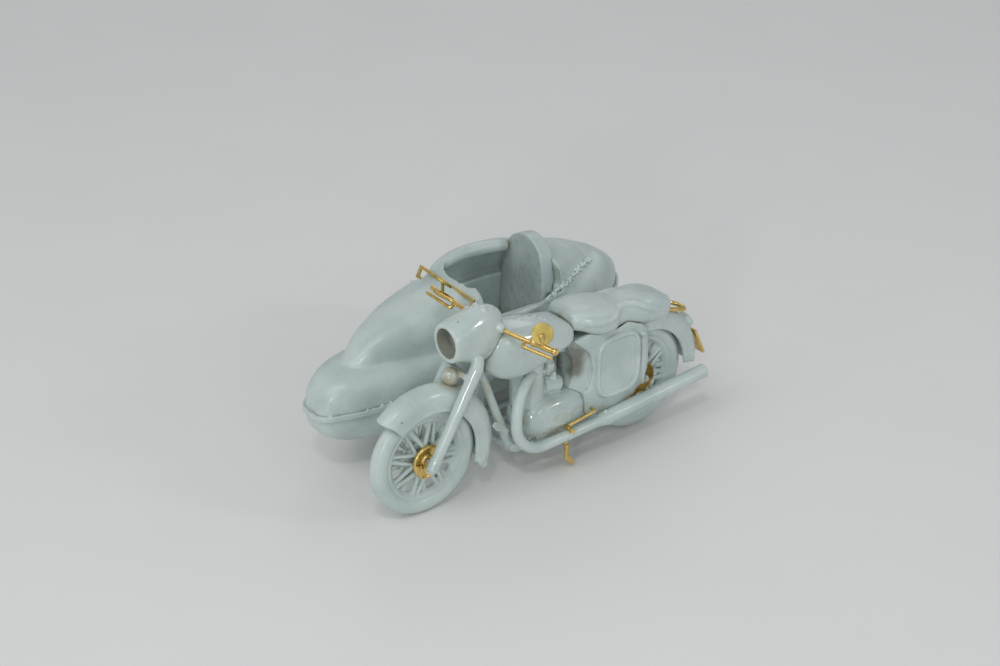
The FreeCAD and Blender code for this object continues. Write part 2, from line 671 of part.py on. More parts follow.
@functools.cache
def exhaust(side):
    """Header out of the cylinder, down round the case, and the straight silencer behind."""
    y = side * SILENCER_Y
    port = Vec(CYLINDER_X, side * PORT_Y, HEADER_TOP_Z)
    knee = Vec(HEADER_FRONT_X, y, HEADER_TOP_Z)
    toe = Vec(HEADER_FRONT_X, y, HEADER_BOTTOM_Z)
    joint = Vec(SILENCER_FRONT_X, y, SILENCER_FRONT_Z)
    header = rod([port, knee, toe, joint], HEADER_RADIUS, HEADER_BEND)
    along = Vec(SILENCER_END_X, y, SILENCER_END_Z) - joint
    onward = Vec(along).normalize()
    neck = Part.makeCone(HEADER_RADIUS, SILENCER_RADIUS, SILENCER_NECK, joint, along)
    barrel = cylinder(SILENCER_RADIUS, along.Length - SILENCER_NECK, joint + onward * SILENCER_NECK, along)
    mouth = joint + along - onward * SILENCER_MOUTH
    bore = cylinder(SILENCER_RADIUS - SILENCER_WALL, SILENCER_MOUTH + OVERRUN, mouth, along)
    return header.multiFuse([neck, barrel]).cut(bore).cut(cylinder_block()).cut(case_solid())


@functools.cache
def air_box():
    """Box between the side panels, with a hollowed front face and slanted cheeks."""
    middle_z = (AIR_BOX_BOTTOM_Z + AIR_BOX_TOP_Z) / 2
    top = Vec(AIR_BOX_FRONT_X, 0, AIR_BOX_TOP_Z)
    low = Vec(AIR_BOX_FRONT_X, 0, AIR_BOX_BOTTOM_Z)
    hollow = Part.Arc(low, Vec(AIR_BOX_FRONT_X - AIR_BOX_HOLLOW, 0, middle_z), top).toShape()
    back_top = Vec(AIR_BOX_REAR_X, 0, AIR_BOX_TOP_Z)
    back_low = Vec(AIR_BOX_REAR_X, 0, AIR_BOX_BOTTOM_Z)
    edges = [
        hollow, Part.LineSegment(top, back_top).toShape(), Part.LineSegment(back_top, back_low).toShape(),
        Part.LineSegment(back_low, low).toShape(),
    ]
    profile = Part.Face(Part.Wire(edges)).extrude(AXIS_Y * 2 * BOX_INNER_Y)
    profile.translate(-AXIS_Y * BOX_INNER_Y)
    cheek_x = AIR_BOX_FRONT_X - (BOX_INNER_Y - AIR_BOX_FRONT_HALF) * 2
    plan = [
        Vec(AIR_BOX_FRONT_X, -AIR_BOX_FRONT_HALF, 0), Vec(AIR_BOX_FRONT_X, AIR_BOX_FRONT_HALF, 0),
        Vec(cheek_x, BOX_INNER_Y, 0), Vec(AIR_BOX_REAR_X, BOX_INNER_Y, 0), Vec(AIR_BOX_REAR_X, -BOX_INNER_Y, 0),
        Vec(cheek_x, -BOX_INNER_Y, 0), Vec(AIR_BOX_FRONT_X, -AIR_BOX_FRONT_HALF, 0),
    ]
    prism = Part.Face(Part.makePolygon(plan)).extrude(AXIS_Z * 2 * AIR_BOX_TOP_Z)
    return profile.common(prism)


@functools.cache
def side_box(side):
    """Panel under the seat with its raised cover, joined to its half of the air box."""
    outline = []
    for along, up in BOX_SHARES:
        outline.append(Vec(BOX_FRONT_X - BOX_LENGTH * along, BOX_INNER_Y, BOX_BOTTOM_Z + BOX_HEIGHT * up))
    panel = Part.Face(ring_spline(outline)).extrude(AXIS_Y * (BOX_PANEL_Y - BOX_INNER_Y))
    centre = Vec(COVER_CENTRE_X, BOX_INNER_Y, COVER_CENTRE_Z)
    rim = [centre + Vec(a, 0, b) for a, b in squircle(COVER_LENGTH / 2, COVER_HEIGHT / 2, COVER_POWER)]
    cover = Part.Face(ring_spline(rim)).extrude(AXIS_Y * (BOX_PANEL_Y + COVER_PROUD - BOX_INNER_Y))
    half_room = Part.makeBox(2 * BOX_LENGTH, BOX_INNER_Y, 2 * AIR_BOX_TOP_Z)
    half_room.translate(Vec(AIR_BOX_REAR_X - BOX_LENGTH, 0, 0))
    box = panel.multiFuse([cover, air_box().common(half_room)])
    if side < 0:
        box = box.mirror(HERE, AXIS_Y)
    for neighbour in (dual_seat(), tank(), exhaust(side), case_solid(), frame(), swingarm(), rear_mudguard()):
        box = box.cut(neighbour)
    return box


@functools.cache
def swingarm():
    """Rear fork: cross tube at the pivot and an arm each side of the wheel."""
    pivot = cylinder(ARM_RADIUS, 2 * ARM_HALF_SPACING, Vec(PIVOT_X, -ARM_HALF_SPACING, PIVOT_Z), AXIS_Y)
    arms = []
    for side in (-1, 1):
        y = side * ARM_HALF_SPACING
        arms.append(rod([Vec(PIVOT_X, y, PIVOT_Z), Vec(REAR_X - ARM_RADIUS, y, AXLE_Z)], ARM_RADIUS, TUBE_BEND))
    return pivot.multiFuse(arms).cut(rear_axle()).cut(frame())


@functools.cache
def rear_axle():
    return axle_pin(REAR_AXLE, ARM_HALF_SPACING + ARM_RADIUS)


@functools.cache
def shock(side):
    """Rear damper: slim body below, wider cover above."""
    y = side * SHOCK_Y
    foot = Vec(REAR_X + SHOCK_AHEAD, y, AXLE_Z)
    along = Vec(SHOCK_TOP_X, y, SHOCK_TOP_Z) - foot
    lower = cylinder(SHOCK_RADIUS, along.Length, foot, along)
    split = along * (1 - SHOCK_COVER_SHARE)
    cover = cylinder(SHOCK_COVER_RADIUS, (along - split).Length, foot + split, along)
    damper = lower.fuse(cover)
    for neighbour in (swingarm(), rear_axle(), rear_mudguard(), frame(), side_box(side), dual_seat()):
        damper = damper.cut(neighbour)
    return damper


@functools.cache
def rear_mudguard():
    """Guard over the rear wheel with the tail lamp on its back."""
    centre = REAR_AXLE - AXIS_X * REAR_GUARD_SETBACK
    guard = mudguard(centre, REAR_GUARD_RADIUS, REAR_GUARD_SIDE_RADIUS, REAR_GUARD_FRONT_DEG, REAR_GUARD_REAR_DEG)
    angle = math.radians(TAIL_LAMP_DEG)
    outward = Vec(math.cos(angle), 0, math.sin(angle))
    base = centre + outward * (REAR_GUARD_RADIUS - GUARD_WALL / 2)
    lamp = cylinder(TAIL_LAMP_RADIUS, TAIL_LAMP_LENGTH, base, outward)
    lamp = lamp.makeFillet(TAIL_LAMP_LENGTH / 2, [lamp.Edges[0]])
    return guard.fuse(lamp).cut(frame()).cut(dual_seat())


def body_centre(x):
    """Middle of the sidecar body at a place along it: the nose points in towards the motorcycle."""
    return BODY_CENTRE_Y + x * math.tan(math.radians(BODY_TOE_IN_DEG))


def belt_z(along):
    """Height of the straight belt line, rising from the nose to the tail."""
    share = BELT_NOSE_SHARE + (BELT_TAIL_SHARE - BELT_NOSE_SHARE) * along
    return BODY_BOTTOM_Z + BODY_HEIGHT * share


def body_section(shares):
    """Section of the boat: a boxy hull below the belt and a rounded deck above it."""
    along, keel, width, deck = shares
    x = BODY_NOSE_X - BODY_LENGTH * along
    belt = belt_z(along)
    half = BODY_HALF_WIDTH * width
    low = belt - (BODY_BOTTOM_Z + BODY_HEIGHT * keel)
    high = BODY_BOTTOM_Z + BODY_HEIGHT * deck - belt
    points = []
    for index in range(OVAL_POINTS):
        angle = 2 * math.pi * index / OVAL_POINTS
        cos = math.cos(angle)
        sin = math.sin(angle)
        power = BODY_POWER_HIGH if sin > 0 else BODY_POWER_LOW
        reach = high if sin > 0 else low
        across = half * math.copysign(abs(cos) ** (2 / power), cos)
        up = reach * math.copysign(abs(sin) ** (2 / power), sin)
        points.append(Vec(x, body_centre(x) + across, belt + up))
    return ring_spline(points)


@functools.cache
def boat():
    return loft([body_section(shares) for shares in BODY_SHARES])


@functools.cache
def cowl():
    """Hood, cockpit surround and rear deck, raised inside the boat's edge."""
    wires = []
    for along, width, top in COWL_SHARES:
        x = COWL_FRONT_X - COWL_LENGTH * along
        rise = (COWL_TOP_Z - COWL_BASE_Z) * top
        half = COWL_HALF_WIDTH * width
        wires.append(oval(x, body_centre(x), half, COWL_BASE_Z - rise, COWL_BASE_Z + rise, COWL_POWER))
    hump = loft(wires)
    floor = Part.makeBox(2 * BODY_LENGTH, 4 * BODY_HALF_WIDTH, BODY_HEIGHT)
    floor.translate(Vec(-BODY_LENGTH, BODY_CENTRE_Y - 2 * BODY_HALF_WIDTH, COWL_BASE_Z - BODY_HEIGHT))
    return hump.cut(floor)


def sill_cut():
    """Wedge that lowers the cockpit's near side to the deck for getting in."""
    near = BODY_CENTRE_Y + COCKPIT_HALF_WIDTH / 2
    front_z = BODY_BOTTOM_Z + BODY_HEIGHT * SILL_FRONT_SHARE
    rear_z = BODY_BOTTOM_Z + BODY_HEIGHT * SILL_REAR_SHARE
    top = 2 * COWL_TOP_Z
    side = [
        Vec(SILL_FRONT_X, near, front_z), Vec(SILL_REAR_X, near, rear_z), Vec(SILL_REAR_X, near, top),
        Vec(SILL_FRONT_X, near, top),
    ]
    return Part.Face(Part.makePolygon(side + [side[0]])).extrude(AXIS_Y * BODY_HALF_WIDTH)


def well(half_width, offset, floor_z, top_z):
    """Space cut out of the body for the passenger, from a floor up to a top."""
    middle_x = COCKPIT_FRONT_X - COCKPIT_LENGTH / 2
    centre = Vec(middle_x, body_centre(middle_x) + offset, floor_z)
    rim = [centre + Vec(a, b, 0) for a, b in squircle(COCKPIT_LENGTH / 2, half_width, COCKPIT_POWER)]
    return Part.Face(ring_spline(rim)).extrude(AXIS_Z * (top_z - floor_z))


@functools.cache
def sidecar_body():
    """Boat-shaped tub and its cowl; the cockpit widens under its far coaming, down to a ledge and a floor."""
    body = boat().fuse(cowl().cut(sill_cut()))
    throat_half = COCKPIT_HALF_WIDTH - COAMING_WIDTH / 2
    throat = well(throat_half, COAMING_WIDTH / 2, LEDGE_Z, 2 * COWL_TOP_Z)
    upper = well(COCKPIT_HALF_WIDTH, 0, LEDGE_Z, COAMING_Z)
    lower = well(COCKPIT_HALF_WIDTH - LEDGE_WIDTH, 0, COCKPIT_FLOOR_Z, COAMING_Z)
    return body.cut(throat).cut(upper).cut(lower)


def belt_outline(grow):
    near = []
    far = []
    for along, keel, width, deck in BODY_SHARES:
        x = BODY_NOSE_X - BODY_LENGTH * along + grow * (1 - 2 * along)
        half = BODY_HALF_WIDTH * width + grow
        near.append(Vec(x, body_centre(x) + half, 0))
        far.append(Vec(x, body_centre(x) - half, 0))
    return ring_spline(near + list(reversed(far)))


@functools.cache
def belt_rail():
    """Raised strip where the body's halves meet, all the way round."""
    column = Part.Face(belt_outline(BELT_PROUD)).extrude(AXIS_Z * 2 * BODY_HEIGHT)
    rise = math.atan2(belt_z(1) - belt_z(0), BODY_LENGTH)
    slab = Part.makeBox(2 * BODY_LENGTH, 4 * BODY_HALF_WIDTH, BELT_HEIGHT)
    slab.translate(Vec(-3 * BODY_LENGTH / 2, -2 * BODY_HALF_WIDTH, -BELT_HEIGHT / 2))
    slab.rotate(HERE, AXIS_Y, math.degrees(rise))
    slab.translate(Vec(BODY_NOSE_X, BODY_CENTRE_Y, belt_z(0)))
    return column.common(slab).cut(boat()).cut(cowl())


@functools.cache
def seat_back():
    """Upright slab with a rounded top behind the passenger."""
    half_height = BACK_HEIGHT / 2
    rim = [Vec(0, a, half_height + b) for a, b in squircle(BACK_HALF_WIDTH, half_height, BACK_POWER)]
    slab = Part.Face(ring_spline(rim)).extrude(-AXIS_X * BACK_THICKNESS)
    slab.rotate(HERE, AXIS_Y, -BACK_LEAN_DEG)
    slab.translate(Vec(BACK_X, body_centre(BACK_X), COCKPIT_FLOOR_Z))
    return slab.cut(sidecar_body())


def seat_cushion():
    front_x = BACK_X + CUSHION_LENGTH
    wires = []
    for along, width, height in CUSHION_SHARES:
        x = front_x - CUSHION_LENGTH * along
        top = COCKPIT_FLOOR_Z + CUSHION_HEIGHT * height
        wires.append(oval(x, body_centre(x), CUSHION_HALF_WIDTH * width, COCKPIT_FLOOR_Z, top, SEAT_POWER))
    return loft(wires).cut(seat_back()).cut(sidecar_body())


def windscreen():
    """Open etched frame that leans back at the front of the cockpit."""
    face = Part.makeBox(BRASS_THICKNESS, 2 * SCREEN_HALF_WIDTH, SCREEN_HEIGHT)
    window = Part.makeBox(3 * BRASS_THICKNESS, 2 * (SCREEN_HALF_WIDTH - SCREEN_BAR), SCREEN_HEIGHT - 2 * SCREEN_BAR)
    window.translate(Vec(-BRASS_THICKNESS, SCREEN_BAR, SCREEN_BAR))
    bar = face.cut(window)
    bar.translate(Vec(0, -SCREEN_HALF_WIDTH, 0))
    bar.rotate(HERE, AXIS_Y, -SCREEN_LEAN_DEG)
    bar.rotate(HERE, AXIS_X, -SCREEN_ROLL_DEG)
    bar.translate(Vec(SCREEN_X, body_centre(SCREEN_X), COWL_TOP_Z - SCREEN_DROP))
    return bar.cut(sidecar_body())


@functools.cache
def sidecar_chassis():
    """Tubes under the body, the arm to the sidecar wheel and the struts to the motorcycle."""
    z = CHASSIS_Z
    near_y = BODY_CENTRE_Y + CHASSIS_HALF_WIDTH
    far_y = BODY_CENTRE_Y - CHASSIS_HALF_WIDTH
    corners = [(CHASSIS_REAR_X, near_y), (CHASSIS_FRONT_X, near_y), (CHASSIS_FRONT_X, far_y), (CHASSIS_REAR_X, far_y)]
    loop = rod([Vec(x, y, z) for x, y in corners], TUBE_RADIUS, TUBE_BEND)
    pieces = []
    upright = CROSS_TUBE_RADIUS * CROSS_TUBE_TAPER
    for x in (CHASSIS_REAR_X + TUBE_RADIUS, CHASSIS_POST_X):
        pieces.append(cylinder(CROSS_TUBE_RADIUS, near_y - far_y, Vec(x, far_y, z), AXIS_Y))
        for side in (-1, 1):
            foot = Vec(x, BODY_CENTRE_Y + side * CHASSIS_POST_Y, z)
            pieces.append(cylinder(upright, BODY_BOTTOM_Z + CHASSIS_POST_RISE - z, foot, AXIS_Z))
    for x in (STRUT_REAR_X, STRUT_FRONT_X):
        pieces.append(cylinder(CROSS_TUBE_RADIUS, TUBE_RADIUS - RAIL_HALF_SPACING - far_y, Vec(x, far_y, z), AXIS_Y))
        pieces.append(cylinder(upright, CRADLE_Z - z, Vec(x, -RAIL_HALF_SPACING, z), AXIS_Z))
    arm = [Vec(SIDE_X, near_y, z), Vec(SIDE_X, ARM_KNEE_Y, z), Vec(SIDE_X, ARM_KNEE_Y, AXLE_Z + TUBE_RADIUS)]
    pieces.append(rod(arm, CROSS_TUBE_RADIUS, TUBE_RADIUS))
    pieces.append(cylinder(AXLE_RADIUS, ARM_KNEE_Y - SIDE_AXLE_END_Y, Vec(SIDE_X, SIDE_AXLE_END_Y, AXLE_Z), AXIS_Y))
    return loop.multiFuse(pieces).cut(frame()).cut(boat())


def sidecar_mudguard():
    """Guard over the sidecar wheel with two stays to the body's side."""
    guard = mudguard(SIDE_AXLE, SIDE_GUARD_RADIUS, SIDE_GUARD_SIDE_RADIUS, SIDE_GUARD_FRONT_DEG, SIDE_GUARD_REAR_DEG)
    stays = []
    start_y = SIDE_Y + GUARD_HALF_WIDTH - GUARD_WALL / 2
    for angle in (math.radians(60), math.radians(120)):
        radius = (SIDE_GUARD_SIDE_RADIUS + SIDE_GUARD_RADIUS - GUARD_HALF_WIDTH) / 2
        foot = Vec(SIDE_X + radius * math.cos(angle), start_y, AXLE_Z + radius * math.sin(angle))
        stays.append(cylinder(STAY_RADIUS, BODY_CENTRE_Y - start_y, foot, AXIS_Y))
    return guard.multiFuse(stays).cut(boat()).cut(belt_rail())


def bar_point(share, side):
    """Point out along the straight handlebar before it is turned on its clamp."""
    y = side * BAR_HALF_SPAN * share
    return Vec(BAR_CENTRE_X - BAR_SWEEP * abs(y), y, BAR_Z + BAR_RISE * share)


def set_bar(shape):
    """Turn a piece of the handlebar to the slightly askew pose in which it is glued."""
    centre = Vec(BAR_CENTRE_X, 0, BAR_Z)
    shape.rotate(centre, AXIS_X, -BAR_ROLL_DEG)
    shape.rotate(centre, AXIS_Z, BAR_YAW_DEG)
    return shape


@functools.cache
def handlebar():
    """Etched bar, swept back to the grips on both sides of the nacelle."""
    shoulder = BAR_SHOULDER_Y / BAR_HALF_SPAN
    points = [bar_point(1, 1), bar_point(shoulder, 1), bar_point(shoulder, -1), bar_point(1, -1)]
    return set_bar(rod(points, BAR_RADIUS, BAR_BEND))


@functools.cache
def lever(side):
    """Hand lever in front of the grip, held by its clamp on the bar."""
    drop = AXIS_Z * LEVER_GAP / 2
    tip = bar_point(1, side) + AXIS_X * LEVER_GAP - drop
    clamp = bar_point(1 - LEVER_LENGTH / BAR_HALF_SPAN, side)
    return set_bar(rod([clamp, clamp + AXIS_X * LEVER_GAP - drop, tip], STEM_RADIUS, STEM_RADIUS)).cut(handlebar())


def mirror(side, facing):
    """Etched disc on a short stem."""
    turn = FreeCAD.Rotation(AXIS_Z, BAR_YAW_DEG).multiply(FreeCAD.Rotation(AXIS_X, -BAR_ROLL_DEG))
    hub = Vec(BAR_CENTRE_X, 0, BAR_Z)
    foot = hub + turn.multVec(bar_point(MIRROR_Y / BAR_HALF_SPAN, side) - hub)
    centre = foot + Vec(0, 0, MIRROR_RISE)
    normal = Vec(*facing).normalize()
    disc = cylinder(MIRROR_RADIUS, BRASS_THICKNESS, centre - normal * BRASS_THICKNESS / 2, normal)
    stem = cylinder(STEM_RADIUS, MIRROR_RISE, foot, AXIS_Z)
    return disc.fuse(stem).cut(handlebar()).cut(lever(side))


def brake_plate(axle, side, cover_y):
    """Etched drum cover beside the hub, with the torque arm."""
    base = axle + AXIS_Y * side * cover_y
    return cylinder(PLATE_RADIUS, PLATE_THICKNESS, base, AXIS_Y * side)


def front_brake_plate():
    y = HUB_WIDTH / 2 + SIDE_GAP
    return brake_plate(FRONT_AXLE, 1, y).cut(front_axle()).cut(fork_leg(1))


def rear_brake_plate():
    y = HUB_WIDTH / 2 + SIDE_GAP
    return brake_plate(REAR_AXLE, 1, y).cut(rear_axle()).cut(swingarm()).cut(shock(1))


def centre_stand():
    """Two etched legs joined across, their feet just clear of the floor."""
    legs = []
    for side in (-1, 1):
        y = side * STAND_HALF_SPACING
        knee = Vec(STAND_X, y, STAND_KNEE_Z)
        toe = Vec(STAND_X - STAND_TOE, y, STAND_FOOT_Z)
        legs.append(rod([Vec(STAND_X, y, STAND_TOP_Z), knee, toe], STAND_RADIUS, STAND_BEND))
    bar = cylinder(STAND_RADIUS, 2 * STAND_HALF_SPACING, Vec(STAND_X, -STAND_HALF_SPACING, STAND_TOP_Z), AXIS_Y)
    stand = bar.multiFuse(legs)
    return stand.cut(frame()).cut(case_solid()).cut(exhaust(1)).cut(exhaust(-1)).cut(sidecar_chassis())


@functools.cache
def footpeg(side):
    start = CASE_HALF_WIDTH - SIDE_GAP
    peg = cylinder(STAND_RADIUS, PEG_LENGTH, Vec(PEG_X, side * start, PEG_Z), AXIS_Y * side)
    return peg.cut(case_solid()).cut(exhaust(side))


def gear_lever():
    """Bent pedal along the case's left cover."""
    y = CASE_HALF_WIDTH + PEG_LENGTH / 2
    pivot = Vec(PEG_X - PEDAL_LENGTH, CASE_HALF_WIDTH - SIDE_GAP, PEG_Z + PEDAL_RISE)
    knee = Vec(PEG_X - PEDAL_LENGTH, y, PEG_Z + PEDAL_RISE)
    tip = Vec(PEG_X + STEM_RADIUS, y, PEG_Z + PEDAL_RISE / 2)
    lever_rod = rod([pivot, knee, tip], STEM_RADIUS, STEM_RADIUS)
    return lever_rod.cut(case_solid()).cut(exhaust(1)).cut(side_box(1)).cut(footpeg(1)).cut(swingarm())


def grab_rail():
    """Etched loop behind the seat, falling a little to the rear."""
    rear_x = SEAT_REAR_X - RAIL_LOOP_REACH
    front_x = rear_x + RAIL_LOOP_LENGTH
    front_z = RAIL_LOOP_Z + RAIL_LOOP_FALL
    half = RAIL_LOOP_HALF_WIDTH
    corners = [
        Vec(front_x, half, front_z), Vec(rear_x, half, RAIL_LOOP_Z), Vec(rear_x, -half, RAIL_LOOP_Z),
        Vec(front_x, -half, front_z),
    ]
    return rod(corners, BAR_RADIUS, BAR_BEND).cut(dual_seat()).cut(rear_mudguard())


def plate_bracket():
    """Blank etched plate that leans out behind the rear mudguard."""
    plate = Part.makeBox(BRASS_THICKNESS, NUMBER_PLATE_WIDTH, NUMBER_PLATE_HEIGHT)
    plate.translate(Vec(-BRASS_THICKNESS, -NUMBER_PLATE_WIDTH / 2, -NUMBER_PLATE_HEIGHT))
    plate.rotate(HERE, AXIS_Y, NUMBER_PLATE_LEAN_DEG)
    plate.translate(Vec(NUMBER_PLATE_X, 0, NUMBER_PLATE_Z))
    return plate.cut(rear_mudguard())


PIECES = {
    "front_wheel": wheel(FRONT_AXLE),
    "rear_wheel": wheel(REAR_AXLE),
    "sidecar_wheel": wheel(SIDE_AXLE),
    "front_axle": front_axle(),
    "rear_axle": rear_axle(),
    "fork_leg_left": fork_leg(1),
    "fork_leg_right": fork_leg(-1),
    "fork_yoke": fork_yoke(),
    "horn": horn(),
    "front_mudguard": front_mudguard(),
    "nacelle": nacelle(),
    "tank": tank(),
    "dual_seat": dual_seat(),
    "frame": frame(),
    "crankcase": crankcase(),
    "cylinder_block": cylinder_block(),
    "carburettor": carburettor(),
    "exhaust_left": exhaust(1),
    "exhaust_right": exhaust(-1),
    "side_box_left": side_box(1),
    "side_box_right": side_box(-1),
    "swingarm": swingarm(),
    "shock_left": shock(1),
    "shock_right": shock(-1),
    "rear_mudguard": rear_mudguard(),
    "sidecar_body": sidecar_body(),
    "belt_rail": belt_rail(),
    "seat_back": seat_back(),
    "seat_cushion": seat_cushion(),
    "windscreen_frame": windscreen(),
    "sidecar_chassis": sidecar_chassis(),
    "sidecar_mudguard": sidecar_mudguard(),
    "handlebar": handlebar(),
    "lever_left": lever(1),
    "lever_right": lever(-1),
    "mirror_left": mirror(1, MIRROR_LEFT_FACING),
    "mirror_right": mirror(-1, MIRROR_RIGHT_FACING),
    "front_brake_plate": front_brake_plate(),
    "rear_brake_plate": rear_brake_plate(),
    "centre_stand": centre_stand(),
    "footpeg_left": footpeg(1),
    "footpeg_right": footpeg(-1),
    "gear_lever": gear_lever(),
    "grab_rail": grab_rail(),
    "plate_bracket": plate_bracket(),
}

if __name__ == "__main__":
    os.makedirs("parts", exist_ok=True)
    for name, shape in PIECES.items():
        shape.translate(Vec(-FOOTPRINT_X, -FOOTPRINT_Y, 0))
        print(name, shape.isValid(), len(shape.Solids))
        shape.exportStep("parts/" + name + ".step")
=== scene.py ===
import math
import random

import bmesh
import bpy
from bpy.props import FloatProperty, FloatVectorProperty, IntProperty, PointerProperty
from bpy.types import Operator, Panel, PropertyGroup
from mathutils import Matrix, Quaternion, Vector, noise
from mathutils.bvhtree import BVHTree


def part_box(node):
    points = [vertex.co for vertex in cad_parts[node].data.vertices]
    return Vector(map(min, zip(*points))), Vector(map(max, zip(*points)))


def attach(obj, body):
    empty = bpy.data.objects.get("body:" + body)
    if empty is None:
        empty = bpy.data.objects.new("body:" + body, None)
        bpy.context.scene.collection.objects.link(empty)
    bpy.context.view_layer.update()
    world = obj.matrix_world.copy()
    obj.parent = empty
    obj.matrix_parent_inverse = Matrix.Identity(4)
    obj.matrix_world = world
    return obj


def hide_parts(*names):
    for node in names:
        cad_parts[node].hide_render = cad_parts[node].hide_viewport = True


bl_info = {
    "name": "Sidecar Motorcycle Model",
    "version": (1, 0, 0),
    "blender": (4, 5, 0),
    "location": "View3D > Sidebar > Model",
    "description": "Dresses the packed scale model: resin castings, etched brass, wheels and studio",
    "category": "Object",
}

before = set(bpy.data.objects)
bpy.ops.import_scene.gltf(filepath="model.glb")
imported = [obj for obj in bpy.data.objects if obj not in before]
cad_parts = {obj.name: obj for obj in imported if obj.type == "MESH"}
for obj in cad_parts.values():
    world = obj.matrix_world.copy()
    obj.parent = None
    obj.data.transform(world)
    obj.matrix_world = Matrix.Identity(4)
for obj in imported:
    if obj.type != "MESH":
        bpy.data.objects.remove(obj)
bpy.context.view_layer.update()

MM = 0.001
COLOUR = {"subtype": "COLOR", "min": 0, "max": 1}
LENGTH = {"subtype": "DISTANCE", "unit": "LENGTH"}

# Middles of the three wheels, and of the floor between the motorcycle's two
HUB_MIDDLES = {}
for wheel_name in ("front_wheel", "rear_wheel", "sidecar_wheel"):
    low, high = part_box(wheel_name)
    HUB_MIDDLES[wheel_name] = (Vector(low) + Vector(high)) / 2
TYRE_RADIUS = (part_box("front_wheel")[1].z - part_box("front_wheel")[0].z) / 2
MIDWAY = (HUB_MIDDLES["front_wheel"] + HUB_MIDDLES["rear_wheel"]) / 2
MIDWAY.z = 0


def place(x, y, z):
    """Point in the row frame for millimetres measured from midway between the axles."""
    return MIDWAY + Vector((x, y, z)) * MM


class CastingSettings(PropertyGroup):
    """Sizes and colours of the pale castings."""

    pale: FloatVectorProperty(
        name="Pale colour", description="Colour of a clean casting", default=(0.530, 0.620, 0.596), **COLOUR,
    )
    shade: FloatVectorProperty(
        name="Deep colour", description="Cooler colour that shows in patches", default=(0.438, 0.532, 0.517), **COLOUR,
    )
    # This warm colour marks real glue stains on the spots, and is also painted shade where the castings mix it into
    # corners and joints by occlusion.
    stain: FloatVectorProperty(
        name="Stain", description="Warm stain of glue in the corners", default=(0.330, 0.290, 0.170), **COLOUR,
    )
    grain_size: FloatProperty(
        name="Grain", description="Size of the fine grain on a casting", default=0.10 * MM, **LENGTH,
    )
    faces_kept: FloatProperty(
        name="Faces kept", description="Share of a finished mesh's faces that is kept", default=0.41, min=0.1, max=1,
    )
    soften: IntProperty(
        name="Softening", description="Smoothing passes that round a casting's edges", default=6, min=0, max=40,
    )


class BrassSettings(PropertyGroup):
    """Colours of the etched brass."""

    bright: FloatVectorProperty(
        name="Bright brass", description="Colour of clean etched sheet", default=(0.840, 0.600, 0.210), **COLOUR,
    )
    dull: FloatVectorProperty(
        name="Dull brass", description="Colour of handled, duller sheet", default=(0.560, 0.430, 0.160), **COLOUR,
    )


class WheelSettings(PropertyGroup):
    """Sizes of the cast wheels."""

    spokes: IntProperty(name="Spokes", description="Spokes on each side of a hub", default=16, min=6, max=40)
    spoke_radius: FloatProperty(
        name="Spoke radius", description="Half the thickness of a cast spoke", default=0.155 * MM, **LENGTH,
    )
    spoke_lean: FloatProperty(
        name="Spoke lean", description="Angle between a spoke's foot and its head", default=math.radians(30),
        subtype="ANGLE",
    )
    rim_radius: FloatProperty(
        name="Rim radius", description="Inner radius of the cast rim", default=2.62 * MM, **LENGTH,
    )
    hub_radius: FloatProperty(
        name="Hub flange radius", description="Radius of the hub's flanges", default=0.74 * MM, **LENGTH,
    )


class DetailSettings(PropertyGroup):
    """Sizes of the small cast and glued details."""

    lip_radius: FloatProperty(
        name="Mudguard lip", description="Half the thickness of a mudguard's rounded edge", default=0.15 * MM, **LENGTH,
    )
    panel_rim: FloatProperty(
        name="Panel rim", description="Half the width of the rolled rim on a side cover", default=0.13 * MM, **LENGTH,
    )
    crust_lumps: IntProperty(
        name="Crust lumps", description="Lumps along the glue seam of the rear cowl", default=150, min=4,
    )
    crust_size: FloatProperty(
        name="Crust size", description="Radius of a middling lump of the glue seam", default=0.105 * MM, **LENGTH,
    )
    grip_radius: FloatProperty(
        name="Grip radius", description="Half the thickness of a handlebar's grip", default=0.25 * MM, **LENGTH,
    )


class StageSettings(PropertyGroup):
    """Floor, lamps and camera."""

    floor_colour: FloatVectorProperty(
        name="Floor", description="Colour of the plain floor", default=(0.80, 0.80, 0.79), **COLOUR,
    )
    key_power: FloatProperty(name="Key lamp", description="Power of the large soft lamp", default=0.20, unit="POWER")
    fill_power: FloatProperty(
        name="Fill lamp", description="Power of the lamp near the camera and of the one behind", default=0.05,
        unit="POWER",
    )
    glint_power: FloatProperty(
        name="Small lamp", description="Power of the small lamps that give crisp highlights", default=0.080,
        unit="POWER",
    )
    sky: FloatProperty(name="Sky", description="Strength of the pale surroundings", default=0.42)


# Materials


